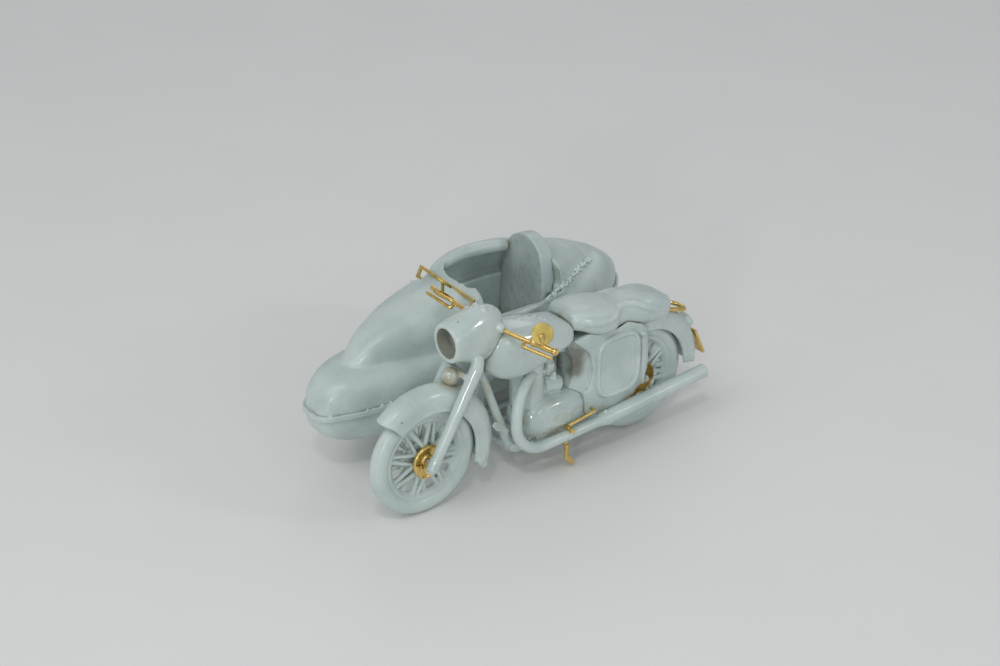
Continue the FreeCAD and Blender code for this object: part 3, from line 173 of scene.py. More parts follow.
class Shader:
    """Small helper that builds one node material."""

    def __init__(self, name, roughness, metallic=0.0):
        self.material = bpy.data.materials.new(name)
        self.material.use_nodes = True
        self.tree = self.material.node_tree
        self.surface = self.tree.nodes["Principled BSDF"]
        self.surface.inputs["Roughness"].default_value = roughness
        self.surface.inputs["Metallic"].default_value = metallic
        self.where = self.add("ShaderNodeTexCoord").outputs["Object"]

    def add(self, kind, inputs=None, **values):
        node = self.tree.nodes.new(kind)
        for key, value in values.items():
            setattr(node, key, value)
        for key, value in (inputs or {}).items():
            self.feed(value, node.inputs[key])
        return node

    def feed(self, value, socket):
        """Link another node's output to a socket, or set the socket's own value."""
        if hasattr(value, "is_linked"):
            self.tree.links.new(value, socket)
        else:
            socket.default_value = value

    def noise(self, feature, detail=3.0, roughness=0.55, where=None):
        where = self.where if where is None else where
        inputs = {"Scale": 1.0 / feature, "Detail": detail, "Roughness": roughness, "Vector": where}
        return self.add("ShaderNodeTexNoise", inputs).outputs["Fac"]

    def band(self, source, low, high, to_low=0.0, to_high=1.0):
        inputs = {"From Min": low, "From Max": high, "To Min": to_low, "To Max": to_high, "Value": source}
        return self.add("ShaderNodeMapRange", inputs, interpolation_type="SMOOTHSTEP").outputs["Result"]

    def mix(self, share, first, second):
        node = self.add("ShaderNodeMix", {"Factor": share}, data_type="RGBA")
        for socket, value in ((node.inputs[6], first), (node.inputs[7], second)):
            self.feed((*value, 1.0) if isinstance(value, tuple) else value, socket)
        return node.outputs[2]

    def sum(self, operation, first, second):
        return self.add("ShaderNodeMath", {0: first, 1: second}, operation=operation).outputs[0]

    def relief(self, height, distance, strength=1.0, under=None):
        inputs = {"Distance": distance, "Strength": strength, "Height": height}
        if under is not None:
            inputs["Normal"] = under
        return self.add("ShaderNodeBump", inputs).outputs["Normal"]


# Spots, each x, y, z and radius in millimetres, strength: warm stains where parts were glued, two of them painted shade
# The spots on the horn and in the gap between the exhaust header and the engine case are painted shade.
GLUE_STAINS_AND_SHADE = [
    (5.7, 0.2, 9.2, 1.35, 0.55), (4.3, 0.5, 7.4, 1.1, 0.55), (3.0, 0.4, 4.7, 1.0, 0.22), (0.9, 1.2, 3.1, 0.6, 0.45),
    (-8.6, 1.2, 3.6, 1.3, 0.60), (1.0, 1.3, 7.0, 0.9, 0.30), (4.6, 0.9, 10.6, 0.8, 0.35), (-0.6, 1.4, 5.4, 0.6, 0.25),
    (6.9, 0.1, 9.3, 1.3, 0.80), (1.6, 1.0, 4.4, 0.55, 0.60), (-3.4, 0.9, 3.9, 0.9, 0.55),
]
# Dark dots of painted shade in the pinholes.
PINHOLES = [(6.43, 0.38, 13.26, 0.10, 0.9), (11.27, 0.89, 7.81, 0.10, 0.9), (12.10, -6.05, 7.30, 0.09, 0.6)]
# Painted shade in the hollow of the air box under the seat's front.
AIR_BOX_PAINTED_SHADE = [(-2.75, side * 0.80, z, radius, 0.80) for side in (-1, 1) for z, radius in ((8.0, 1.45), (7.0, 1.25))]

# Colours of the marks on a casting; the pinhole, hollow and bubble colours are painted shade
PINHOLE_SHADE_COLOUR = (0.07, 0.12, 0.09)
HOLLOW_SHADE_COLOUR = (0.125, 0.118, 0.085)
BUBBLE_SHADE_COLOUR = (0.10, 0.13, 0.12)
RUBBED_COLOUR = (0.27, 0.31, 0.30)

# Sizes and depths of the patterns on a casting
PATCH_SIZE = 3.4 * MM
STAIN_AND_SHADE_SIZE = 1.7 * MM
STAIN_AND_SHADE_REACH = 0.9 * MM
CLOUD_SIZE = 0.9 * MM
GLOSS_SIZE = 1.2 * MM
WAVE_SIZE = 0.85 * MM
WAVE_DEPTH = 0.030 * MM
GRAIN_DEPTH = 0.012 * MM
BUBBLE_SPACING = 2.1 * MM
BUBBLE_DEPTH = 0.06 * MM
STREAK_SIZE = 0.24 * MM
STREAK_DEPTH = 0.09 * MM
SKIN_DEPTH = 0.35 * MM


def casting_material(
    name, grain=1.0, roughness=0.33, darker=1.0, warm=0.45, gloss_coat=0.18, streaks=False, tint=(1.0, 1.0, 1.0),
    shade_spots=(),
):
    """Pale satin resin: cool patches, warm glue stains mixed with painted shade in corners, fine grain, soft waves, and
    pinholes, bubbles and hollows darkened with painted shade.
    """
    look = bpy.context.scene.casting_settings
    shader = Shader(name, roughness)
    surface = shader.surface
    for key, value in (
        ("Coat Weight", gloss_coat), ("Coat Roughness", 0.09), ("Specular IOR Level", 0.5), ("Subsurface Weight", 0.22),
        ("Subsurface Radius", (1.0, 1.0, 0.85)), ("Subsurface Scale", SKIN_DEPTH),
    ):
        surface.inputs[key].default_value = value
    patches = shader.band(shader.noise(PATCH_SIZE, 4.0), 0.38, 0.66)
    pale = tuple(value * darker * share for value, share in zip(look.pale, tint))
    deep = tuple(value * darker * share for value, share in zip(look.shade, tint))
    colour = shader.mix(patches, pale, deep)
    # Painted shade mixed with glue stains: the warm, darker colour goes where ambient occlusion finds corners and
    # joints.
    corner = shader.add("ShaderNodeAmbientOcclusion", {"Distance": STAIN_AND_SHADE_REACH}, samples=8)
    shaded_corners = shader.band(corner.outputs["AO"], 0.25, 0.85, 1.0, 0.0)
    spread = shader.band(shader.noise(STAIN_AND_SHADE_SIZE, 5.0), 0.42, 0.70)
    stain_and_shade_share = shader.sum("MULTIPLY", shader.sum("MULTIPLY", shaded_corners, spread), warm * 2)
    colour = shader.mix(stain_and_shade_share, colour, tuple(look.stain))
    cloud = shader.band(shader.noise(CLOUD_SIZE, 5.0), 0.30, 0.62, 0.35, 1.0)
    # Spots of glue stains and of painted shade, each mixed in by distance from its middle.
    for spots, stain_and_shade_colour in ((GLUE_STAINS_AND_SHADE, tuple(look.stain)), (PINHOLES, PINHOLE_SHADE_COLOUR), (shade_spots, HOLLOW_SHADE_COLOUR)):
        for x, y, z, radius, strength in spots:
            far = shader.add("ShaderNodeVectorMath", {1: place(x, y, z), 0: shader.where}, operation="DISTANCE")
            near = shader.band(far.outputs["Value"], radius * 0.35 * MM, radius * MM, strength, 0.0)
            colour = shader.mix(shader.sum("MULTIPLY", near, cloud), colour, stain_and_shade_colour)
    gloss = shader.band(shader.noise(GLOSS_SIZE, 4.0), 0.3, 0.7, roughness - 0.09, roughness + 0.12)
    fine = shader.noise(look.grain_size, 4.0, 0.65)
    waves = shader.noise(WAVE_SIZE, 3.0)
    normal = shader.relief(waves, WAVE_DEPTH, 0.55)
    normal = shader.relief(fine, GRAIN_DEPTH * grain, 0.45, normal)
    cells = shader.add("ShaderNodeTexVoronoi", {"Scale": 1 / BUBBLE_SPACING, "Vector": shader.where}, feature="F1")
    split = shader.add("ShaderNodeSeparateColor", {"Color": cells.outputs["Color"]})
    chosen = shader.sum("GREATER_THAN", split.outputs["Red"], 0.93)
    hole = shader.sum("MULTIPLY", shader.band(cells.outputs["Distance"], 0.015, 0.045, 1.0, 0.0), chosen)
    normal = shader.relief(shader.sum("SUBTRACT", 1.0, hole), BUBBLE_DEPTH, 0.9, normal)
    # Painted shade: the bubble pits are darkened as well as dented.
    colour = shader.mix(shader.sum("MULTIPLY", hole, 0.55), colour, BUBBLE_SHADE_COLOUR)
    if streaks:
        turn = shader.add("ShaderNodeMapping", {"Scale": (1.0, 1.0, 0.40), "Vector": shader.where})
        lines = shader.noise(STREAK_SIZE, 5.0, 0.5, turn.outputs["Vector"])
        normal = shader.relief(lines, STREAK_DEPTH, 0.8, normal)
        rubbed = shader.band(lines, 0.45, 0.70)
        colour = shader.mix(shader.sum("MULTIPLY", rubbed, 0.45), colour, RUBBED_COLOUR)
    for socket, value in (("Roughness", gloss), ("Base Color", colour), ("Normal", normal)):
        shader.feed(value, surface.inputs[socket])
    return shader.material


def brass_material(name, dullness=0.35, roughness=0.24, tint=(1.0, 1.0, 1.0)):
    """Etched brass: bright faces, duller handled patches, fine rolling lines."""
    look = bpy.context.scene.brass_settings
    shader = Shader(name, roughness, metallic=1.0)
    patches = shader.band(shader.noise(0.7 * MM, 4.0), 0.40, 0.68, 0.0, dullness * 2)
    bright = tuple(value * share for value, share in zip(look.bright, tint))
    dull = tuple(value * share for value, share in zip(look.dull, tint))
    colour = shader.mix(patches, bright, dull)
    gloss = shader.band(shader.noise(0.45 * MM, 5.0), 0.35, 0.7, roughness - 0.08, roughness + 0.16)
    waves = shader.noise(0.28 * MM, 3.0)
    fine = shader.noise(0.05 * MM, 4.0)
    normal = shader.relief(fine, 0.006 * MM, 0.4, shader.relief(waves, 0.022 * MM, 0.4))
    for socket, value in (("Roughness", gloss), ("Base Color", colour), ("Normal", normal)):
        shader.feed(value, shader.surface.inputs[socket])
    return shader.material


RESIN_FINISHES = {
    "resin": {},
    "resin_smooth": {"grain": 0.4, "roughness": 0.24, "gloss_coat": 1.0},
    "resin_tyre": {"grain": 1.2, "roughness": 0.42, "darker": 0.97, "warm": 0.3, "gloss_coat": 0.15},
    "resin_rough": {"grain": 2.6, "roughness": 0.58, "darker": 0.86, "gloss_coat": 0.0, "streaks": True},
    # The side panels carry dark patches of painted shade in the air box's hollow.
    "side_resin": {"shade_spots": AIR_BOX_PAINTED_SHADE},
    # Painted shade: the faces inside the lamp housing's opening are much darker, with a warm tint.
    "socket": {"grain": 1.5, "roughness": 0.50, "darker": 0.55, "gloss_coat": 0.1, "tint": (1.0, 0.90, 0.78)},
    "glue_crust": {"grain": 3.0, "roughness": 0.40, "darker": 1.12, "warm": 0.1, "gloss_coat": 0.4},
}
BRASS_FINISHES = {
    "brass": {},
    "brass_stained": {"dullness": 0.9, "roughness": 0.44, "tint": (0.52, 0.46, 0.36)},
    # Painted shade: the mirrors' rougher brass is also tinted darker and greener.
    "brass_dull": {"dullness": 0.30, "roughness": 0.46, "tint": (0.58, 0.63, 0.56)},
}
MATERIALS = {}


def material(name):
    """Material by name, made the first time that it is asked for."""
    if name not in MATERIALS:
        if name in BRASS_FINISHES:
            MATERIALS[name] = brass_material(name, **BRASS_FINISHES[name])
        else:
            MATERIALS[name] = casting_material(name, **RESIN_FINISHES[name])
    return MATERIALS[name]


# Meshes


def add_object(name, mesh):
    item = bpy.data.objects.new(name, mesh)
    bpy.context.scene.collection.objects.link(item)
    return item


def as_mesh(group, name):
    """Mesh of a bmesh, which is freed."""
    mesh = bpy.data.meshes.new(name)
    group.to_mesh(mesh)
    group.free()
    return mesh


def applied(item):
    """New mesh of an object with its modifiers applied."""
    bpy.context.view_layer.update()
    return bpy.data.meshes.new_from_object(item.evaluated_get(bpy.context.evaluated_depsgraph_get()))


def settle(item, name, materials, body, nodes=()):
    """Turn an object with modifiers into a plain, thinned, smooth mesh that rides on its body."""
    thin = item.modifiers.new("thin", "DECIMATE")
    thin.ratio = bpy.context.scene.casting_settings.faces_kept
    mesh = applied(item)
    bpy.data.objects.remove(item)
    mesh.name = name
    mesh.materials.clear()
    for entry in materials:
        mesh.materials.append(material(entry))
    for face in mesh.polygons:
        face.use_smooth = True
    done = add_object(name, mesh)
    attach(done, body)
    if nodes:
        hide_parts(*nodes)
    return done


def even_out(item, voxel, passes):
    """Voxel remesh, its size in millimetres, and smoothing: they round edges and fillet joints."""
    remesh = item.modifiers.new("even", "REMESH")
    remesh.mode = "VOXEL"
    remesh.voxel_size = voxel * MM
    smooth = item.modifiers.new("soften", "SMOOTH")
    smooth.factor = 0.5
    smooth.iterations = passes


def joined_nodes(nodes, extra=()):
    """One mesh with copies of several CAD nodes, their loose triangles merged, and of the added details."""
    group = bmesh.new()
    for node in nodes:
        group.from_mesh(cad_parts[node].data)
    bmesh.ops.remove_doubles(group, verts=group.verts, dist=0.0005 * MM)
    for detail in extra:
        group.from_mesh(detail)
        bpy.data.meshes.remove(detail)
    return as_mesh(group, "copy")


def softened(name, nodes, voxel, passes, finish="resin", extra=(), shape=None, paint=None):
    """Casting of one or more CAD nodes and its added details, with rounded edges and filleted joints.

    The voxel's size is in millimetres. A shape rule moves the vertices of the evened mesh. A paint rule gives the
    material's index for a face from its centre in millimetres and its normal.
    """
    finishes = [finish] if isinstance(finish, str) else list(finish)
    item = add_object(name + "_work", joined_nodes(nodes, extra))
    even_out(item, voxel, passes)
    if shape is not None:
        mesh = applied(item)
        item.modifiers.clear()
        item.data = mesh
        shape(mesh)
    done = settle(item, name, finishes, "model", nodes)
    if paint is not None:
        for face in done.data.polygons:
            face.material_index = paint((face.center - MIDWAY) / MM, face.normal)
    return done


def wobble(mesh, amount, feature, seed=0):
    """Small uneven swells over a casting."""
    offset = Vector((seed * 7.1, seed * 3.3, seed * 5.7))
    mesh.update()
    normals = [vertex.normal.copy() for vertex in mesh.vertices]
    for vertex, normal in zip(mesh.vertices, normals):
        vertex.co += normal * amount * noise.noise(vertex.co / feature + offset)


def skin(group, rings, closed):
    """Faces between neighbouring rings of vertices, with an end face on each end unless the rings close."""
    count = len(rings[0])
    for ring, after in zip(rings, rings[1:] + rings[:1] if closed else rings[1:]):
        for k in range(count):
            group.faces.new((ring[k], ring[(k + 1) % count], after[(k + 1) % count], after[k]))
    if not closed:
        group.faces.new(rings[0])
        group.faces.new(rings[-1])
    bmesh.ops.recalc_face_normals(group, faces=group.faces)


def tube(points, radius, sides=12, closed=False):
    """Bar through points in millimetres; the radius is one number, or one for each point."""
    spots = [place(*point) for point in points]
    count = len(spots)
    radii = list(radius) if isinstance(radius, (list, tuple)) else [radius] * count
    group = bmesh.new()
    rings = []
    side = None
    for index, spot in enumerate(spots):
        before = spots[index - 1] if index or closed else spot
        after = spots[(index + 1) % count] if index < count - 1 or closed else spot
        along = (after - before).normalized()
        if side is None:
            side = along.orthogonal().normalized()
        side = (side - along * side.dot(along)).normalized()
        up = along.cross(side)
        ring = []
        for step in range(sides):
            angle = 2 * math.pi * step / sides
            offset = side * math.cos(angle) + up * math.sin(angle)
            ring.append(group.verts.new(spot + offset * radii[index] * MM))
        rings.append(ring)
    skin(group, rings, closed)
    return as_mesh(group, "tube")


def blobs(spots, seed=0, rough=0.25):
    """Uneven lumps; each spot is x, y, z and radius in millimetres."""
    draw = random.Random(seed)
    group = bmesh.new()
    for x, y, z, radius in spots:
        axis = [draw.uniform(-1, 1) for _ in range(3)]
        turn = Quaternion(axis, draw.uniform(0, 3)).to_matrix().to_4x4()
        squeeze = Matrix.Diagonal([draw.uniform(1 - rough, 1 + rough) for _ in range(3)] + [1])
        matrix = Matrix.Translation(place(x, y, z)) @ turn @ squeeze
        bmesh.ops.create_icosphere(group, subdivisions=2, radius=radius * MM, matrix=matrix)
    return as_mesh(group, "blobs")


GUARD_SHOULDER = 4.23
GUARD_HALF_WIDTH = 0.92
GUARD_WALL = 0.45
GUARD_EDGE_Y = 0.80


def tongue(axle, first_deg, last_deg, slant, steps=12, across=14):
    """Rounded end of a mudguard's crown, as a shell about the axle; slant moves its tip aside."""
    half = GUARD_HALF_WIDTH
    group = bmesh.new()
    rows = []
    for step in range(steps + 1):
        share = step / steps
        angle = math.radians(first_deg + (last_deg - first_deg) * share)
        width = half * max(0.12, 1 - share ** 2.4) ** 0.5
        outer, inner = [], []
        for k in range(across + 1):
            y = slant * share + width * (2 * k / across - 1)
            rise = math.sqrt(max(0.0, half ** 2 - min(half, abs(y)) ** 2))
            for layer, depth in ((outer, 0.0), (inner, GUARD_WALL)):
                reach = GUARD_SHOULDER + rise - depth
                layer.append(group.verts.new(place(
                    axle[0] + reach * math.cos(angle), axle[1] + y, axle[2] + reach * math.sin(angle),
                )))
        rows.append(outer + list(reversed(inner)))
    skin(group, rows, False)
    return as_mesh(group, "tongue")


def slab(outline, across, thickness):
    """Thin plate across the motorcycle; the outline is x, z points in millimetres."""
    group = bmesh.new()
    near = [group.verts.new(place(x, across + thickness / 2, z)) for x, z in outline]
    far = [group.verts.new(place(x, across - thickness / 2, z)) for x, z in outline]
    group.faces.new(near)
    group.faces.new(list(reversed(far)))
    count = len(outline)
    for k in range(count):
        group.faces.new((near[k], far[k], far[(k + 1) % count], near[(k + 1) % count]))
    bmesh.ops.recalc_face_normals(group, faces=group.faces)
    return as_mesh(group, "slab")


def arc_points(centre, radius, across, first_deg, last_deg, steps=40):
    """Points in millimetres on an arc about a wheel's axle, counted from the front upwards."""
    points = []
    for step in range(steps + 1):
        angle = math.radians(first_deg + (last_deg - first_deg) * step / steps)
        points.append((centre[0] + radius * math.cos(angle), centre[1] + across, centre[2] + radius * math.sin(angle)))
    return points


def guard_lips(axle, radius, first_deg, last_deg):
    """Rounded edges along both sides of a mudguard."""
    lip = bpy.context.scene.detail_settings.lip_radius / MM
    return [tube(arc_points(axle, radius, side * GUARD_EDGE_Y, first_deg, last_deg), lip) for side in (-1, 1)]


def rounded_outline(centre, half_length, half_height, power, steps=48):
    """Points in millimetres round a rounded rectangle that stands along the motorcycle."""
    points = []
    for step in range(steps):
        angle = 2 * math.pi * (step + 0.5) / steps
        cos, sin = math.cos(angle), math.sin(angle)
        points.append((
            centre[0] + half_length * math.copysign(abs(cos) ** (2 / power), cos), centre[1],
            centre[2] + half_height * math.copysign(abs(sin) ** (2 / power), sin),
        ))
    return points


def lathe(name, profile, centre, steps):
    """Closed ring turned about the wheel's axle through a centre; profile is (radius, across)."""
    group = bmesh.new()
    rings = []
    for index in range(steps):
        angle = 2 * math.pi * index / steps
        rings.append([
            group.verts.new(centre + Vector((radius * math.cos(angle), across, radius * math.sin(angle))))
            for radius, across in profile
        ])
    skin(group, rings, True)
    return as_mesh(group, name)


# Geometry Nodes


class Tree:
    """Small helper that builds one Geometry Nodes group."""

    def __init__(self, name):
        self.group = bpy.data.node_groups.new(name, "GeometryNodeTree")
        for way in ("INPUT", "OUTPUT"):
            self.group.interface.new_socket("Geometry", in_out=way, socket_type="NodeSocketGeometry")
        self.entry = self.group.nodes.new("NodeGroupInput")
        self.exit = self.group.nodes.new("NodeGroupOutput")

    def size(self, name, value, kind="NodeSocketFloat"):
        socket = self.group.interface.new_socket(name, in_out="INPUT", socket_type=kind)
        socket.default_value = value
        return self.entry.outputs[name]

    def node(self, kind, inputs=None, **values):
        node = self.group.nodes.new(kind)
        for key, value in values.items():
            setattr(node, key, value)
        for key, value in (inputs or {}).items():
            if hasattr(value, "is_linked"):
                self.group.links.new(value, node.inputs[key])
            else:
                node.inputs[key].default_value = value
        return node

    def calc(self, operation, first, second=None):
        inputs = {0: first}
        if second is not None:
            inputs[1] = second
        return self.node("ShaderNodeMath", inputs, operation=operation).outputs[0]

    def either(self, count):
        """Minus one for an even count, and one for an odd one."""
        return self.calc("SUBTRACT", self.calc("MULTIPLY", self.calc("MODULO", count, 2.0), 2.0), 1.0)

    def close(self, geometry, finish):
        """Realize Instances and Set Material, then the group's output."""
        real = self.node("GeometryNodeRealizeInstances", {"Geometry": geometry})
        painted = self.node(
            "GeometryNodeSetMaterial", {"Geometry": real.outputs["Geometry"], "Material": material(finish)},
        )
        self.group.links.new(painted.outputs["Geometry"], self.exit.inputs["Geometry"])
        return self.group


def spoke_tree():
    """Crossed spokes of one wheel: each runs from the hub's flange to the rim, leaning by turns."""
    look = bpy.context.scene.wheel_settings
    tree = Tree("crossed_spokes")
    count = tree.size("Spokes", look.spokes, "NodeSocketInt")
    radius = tree.size("Spoke Radius", look.spoke_radius)
    lean = tree.size("Lean", look.spoke_lean)
    foot_radius = tree.size("Foot Radius", look.hub_radius * 0.85)
    head_radius = tree.size("Head Radius", look.rim_radius * 1.04)
    foot_across = tree.size("Foot Across", 0.39 * MM)
    head_across = tree.size("Head Across", 0.10 * MM)
    total = tree.calc("MULTIPLY", count, 2.0)
    points = tree.node("GeometryNodePoints", {"Count": total}).outputs[0]
    index = tree.node("GeometryNodeInputIndex").outputs[0]
    side = tree.either(index)
    step = tree.calc("FLOOR", tree.calc("DIVIDE", index, 2.0))
    way = tree.either(step)
    place_on = tree.calc("ADD", step, tree.calc("MULTIPLY", side, 0.25))
    foot_angle = tree.calc("MULTIPLY", tree.calc("DIVIDE", place_on, count), 2 * math.pi)
    head_angle = tree.calc("ADD", foot_angle, tree.calc("MULTIPLY", way, lean))

    def polar(angle, reach, across):
        x = tree.calc("MULTIPLY", tree.calc("COSINE", angle), reach)
        z = tree.calc("MULTIPLY", tree.calc("SINE", angle), reach)
        y = tree.calc("MULTIPLY", side, across)
        return tree.node("ShaderNodeCombineXYZ", {"X": x, "Y": y, "Z": z}).outputs[0]

    foot = polar(foot_angle, foot_radius, foot_across)
    head = polar(head_angle, head_radius, head_across)
    along = tree.node("ShaderNodeVectorMath", {0: head, 1: foot}, operation="SUBTRACT").outputs[0]
    length = tree.node("ShaderNodeVectorMath", {0: along}, operation="LENGTH").outputs["Value"]
    placed = tree.node("GeometryNodeSetPosition", {"Geometry": points, "Position": foot}).outputs[0]
    stick = tree.node(
        "GeometryNodeMeshCylinder", {"Vertices": 10, "Side Segments": 6, "Radius": 1.0, "Depth": 1.0},
        fill_type="NGON",
    ).outputs["Mesh"]
    lifted = tree.node("GeometryNodeTransform", {"Geometry": stick, "Translation": (0, 0, 0.5)}).outputs[0]
    spin = tree.node("FunctionNodeAlignRotationToVector", {"Vector": along}, axis="Z").outputs[0]
    share = tree.node("FunctionNodeRandomValue", {"Seed": 7, 2: 0.80, 3: 1.18}, data_type="FLOAT")
    uneven = tree.calc("MULTIPLY", radius, share.outputs[1])
    thick = tree.node("ShaderNodeCombineXYZ", {"X": uneven, "Y": uneven, "Z": length}).outputs[0]
    sticks = tree.node(
        "GeometryNodeInstanceOnPoints",
        {"Points": placed, "Instance": lifted, "Rotation": spin, "Scale": thick},
    ).outputs[0]
    return tree.close(sticks, "resin_tyre")


def tree_mesh(group, name, source=None):
    """Plain mesh of what a Geometry Nodes group makes, from a source mesh where it needs one."""
    item = add_object(name, source or bpy.data.meshes.new(name))
    item.modifiers.new("nodes", "NODES").node_group = group
    mesh = applied(item)
    bpy.data.objects.remove(item)
    return mesh


WEB_COUNT = 34
WEB_HALF_THICKNESS = 0.11


def spoke_webs(seed):
    """Thin flash left between some of the spokes, at the rim and at the hub by turns; mesh about a wheel's axle."""
    draw = random.Random(seed)
    group = bmesh.new()
    for step in range(WEB_COUNT):
        angle = 2 * math.pi * (step + draw.uniform(0, 0.6)) / WEB_COUNT
        low, high = (1.70, 2.68) if step % 2 else (0.65, 1.35)
        spread = draw.uniform(0.06, 0.15) * (1 if step % 2 else 2.0)
        ends = [(low, angle), (high, angle - spread), (high, angle + spread)]
        rings = [
            [group.verts.new(Vector((r * math.cos(a), across, r * math.sin(a))) * MM) for r, a in ends]
            for across in (-WEB_HALF_THICKNESS, WEB_HALF_THICKNESS)
        ]
        group.faces.new(rings[0])
        group.faces.new(rings[1])
        for k in range(3):
            group.faces.new((rings[0][k], rings[0][(k + 1) % 3], rings[1][(k + 1) % 3], rings[1][k]))
    bmesh.ops.recalc_face_normals(group, faces=group.faces)
    return as_mesh(group, "webs")


# Halves of the wheel's sections: radius and distance from the middle, in millimetres
TYRE_HALF = [
    (2.72, -0.36), (2.86, -0.43), (2.93, -0.37), (2.98, -0.40), (3.10, -0.50), (3.30, -0.57), (3.55, -0.57),
    (3.80, -0.46), (3.97, -0.28), (3.93, -0.23), (4.01, -0.18),
]
TREAD_FLAT = 0.05


class OBJECT_OT_model_wheels(Operator):
    """Cast wheels: tyre, rim, hub and crossed spokes of each in one casting"""

    bl_idname = "object.model_wheels"
    bl_label = "Wheels"

    def execute(self, context):
        look = context.scene.wheel_settings
        spokes = tree_mesh(spoke_tree(), "spokes")
        rim, flange = look.rim_radius, look.hub_radius
        tyre = [(rim - 0.12 * MM, -0.10 * MM), (rim, -0.24 * MM)]
        tyre += [(radius * MM, across * MM) for radius, across in TYRE_HALF]
        tyre += [(TYRE_RADIUS, -TREAD_FLAT * MM)]
        tyre += [(radius, -across) for radius, across in reversed(tyre)]
        hub = [
            (0.20 * MM, -0.45 * MM), (0.55 * MM, -0.45 * MM), (flange, -0.42 * MM), (flange, -0.34 * MM),
            (0.50 * MM, -0.30 * MM),
        ]
        hub += [(0.46 * MM, 0.0)] + [(radius, -across) for radius, across in reversed(hub)]
        for seed, (name, centre) in enumerate(HUB_MIDDLES.items()):
            group = bmesh.new()
            group.from_mesh(spokes)
            group.from_mesh(spoke_webs(seed))
            bmesh.ops.translate(group, verts=group.verts, vec=centre)
            group.from_mesh(lathe("tyre", tyre, centre, 220))
            group.from_mesh(lathe("hub", hub, centre, 64))
            item = add_object(name + "_work", as_mesh(group, name + "_casting"))
            even_out(item, 0.050, 2)
            settle(item, name + "_casting", ["resin_tyre"], name, [name])
        return {"FINISHED"}


GLUE_SEAM = [
    (-10.96, -7.20, 9.89), (-10.00, -6.61, 10.00), (-9.06, -6.16, 9.97), (-8.19, -5.77, 9.83), (-7.24, -5.39, 9.70),
    (-6.53, -5.40, 9.29), (-5.53, -5.06, 9.18),
]
FLASH_ON_BELT = [
    (12.20, -6.18, 5.74, 0.11), (11.30, -5.60, 5.80, 0.08), (9.90, -5.16, 5.90, 0.12), (9.52, -5.08, 5.93, 0.09),
    (8.90, -4.95, 6.00, 0.14), (8.25, -4.86, 6.06, 0.10), (13.05, -7.60, 5.66, 0.15), (12.95, -8.35, 5.62, 0.11),
]
FAR_COAMING = [
    (1.05, -9.60, 10.55), (0.95, -10.10, 10.62), (0.62, -10.50, 10.76), (0.22, -10.66, 10.92), (-0.30, -10.58, 11.18),
    (-1.00, -10.46, 11.46), (-1.70, -10.42, 11.57), (-2.30, -10.38, 11.61), (-3.60, -10.36, 11.55),
    (-4.90, -10.28, 11.40), (-5.66, -10.24, 11.22),
]
FAR_COAMING_RADII = [0.16, 0.24, 0.34, 0.43, 0.50, 0.53, 0.53, 0.53, 0.53, 0.50, 0.38]


def crust_tree():
    """Bead of uneven lumps along a seam: a curve through the points, with scattered lumps of mixed sizes."""
    look = bpy.context.scene.detail_settings
    tree = Tree("glue_crust_bead")
    count = tree.size("Lumps", look.crust_lumps, "NodeSocketInt")
    size = tree.size("Lump Radius", look.crust_size)
    spread = tree.size("Spread", 0.17 * MM)
    seed = tree.size("Seed", 4, "NodeSocketInt")
    curve = tree.node("GeometryNodeMeshToCurve", {"Mesh": tree.entry.outputs["Geometry"]}).outputs[0]
    points = tree.node("GeometryNodeCurveToPoints", {"Curve": curve, "Count": count}, mode="COUNT").outputs["Points"]
    shift = tree.node(
        "FunctionNodeRandomValue", {"Seed": seed, 0: (-1, -1, -1), 1: (1, 1, 1)}, data_type="FLOAT_VECTOR",
    )
    scaled = tree.node("ShaderNodeVectorMath", {0: shift.outputs[0], 3: spread}, operation="SCALE").outputs[0]
    moved = tree.node("GeometryNodeSetPosition", {"Geometry": points, "Offset": scaled}).outputs[0]
    share = tree.node("FunctionNodeRandomValue", {"Seed": seed, 2: 0.55, 3: 1.25}, data_type="FLOAT")
    lump = tree.node("GeometryNodeMeshIcoSphere", {"Radius": size, "Subdivisions": 2}).outputs["Mesh"]
    lumps = tree.node(
        "GeometryNodeInstanceOnPoints", {"Points": moved, "Instance": lump, "Scale": share.outputs[1]},
    ).outputs[0]
    return tree.close(lumps, "glue_crust")


def seated(points, node):
    """The points in millimetres moved to the nearest places on a CAD node's surface."""
    mesh = joined_nodes([node])
    faces = [list(face.vertices) for face in mesh.polygons]
    tree = BVHTree.FromPolygons([vertex.co for vertex in mesh.vertices], faces)
    bpy.data.meshes.remove(mesh)
    return [tree.find_nearest(place(*point[:3]))[0] for point in points]


def valley(mesh, line, shift, depth, width):
    """Soft groove along a line of points, moved aside by a shift; sizes in millimetres."""
    mesh.update()
    line = [spot + Vector(shift) * MM for spot in line]
    normals = [vertex.normal.copy() for vertex in mesh.vertices]
    for vertex, normal in zip(mesh.vertices, normals):
        gaps = []
        for first, second in zip(line, line[1:]):
            along = second - first
            share = max(0.0, min(1.0, (vertex.co - first).dot(along) / along.length_squared))
            gaps.append((vertex.co - first - along * share).length / MM)
        if min(gaps) < 3 * width:
            vertex.co -= normal * depth * MM * math.exp(-(min(gaps) / width) ** 2)


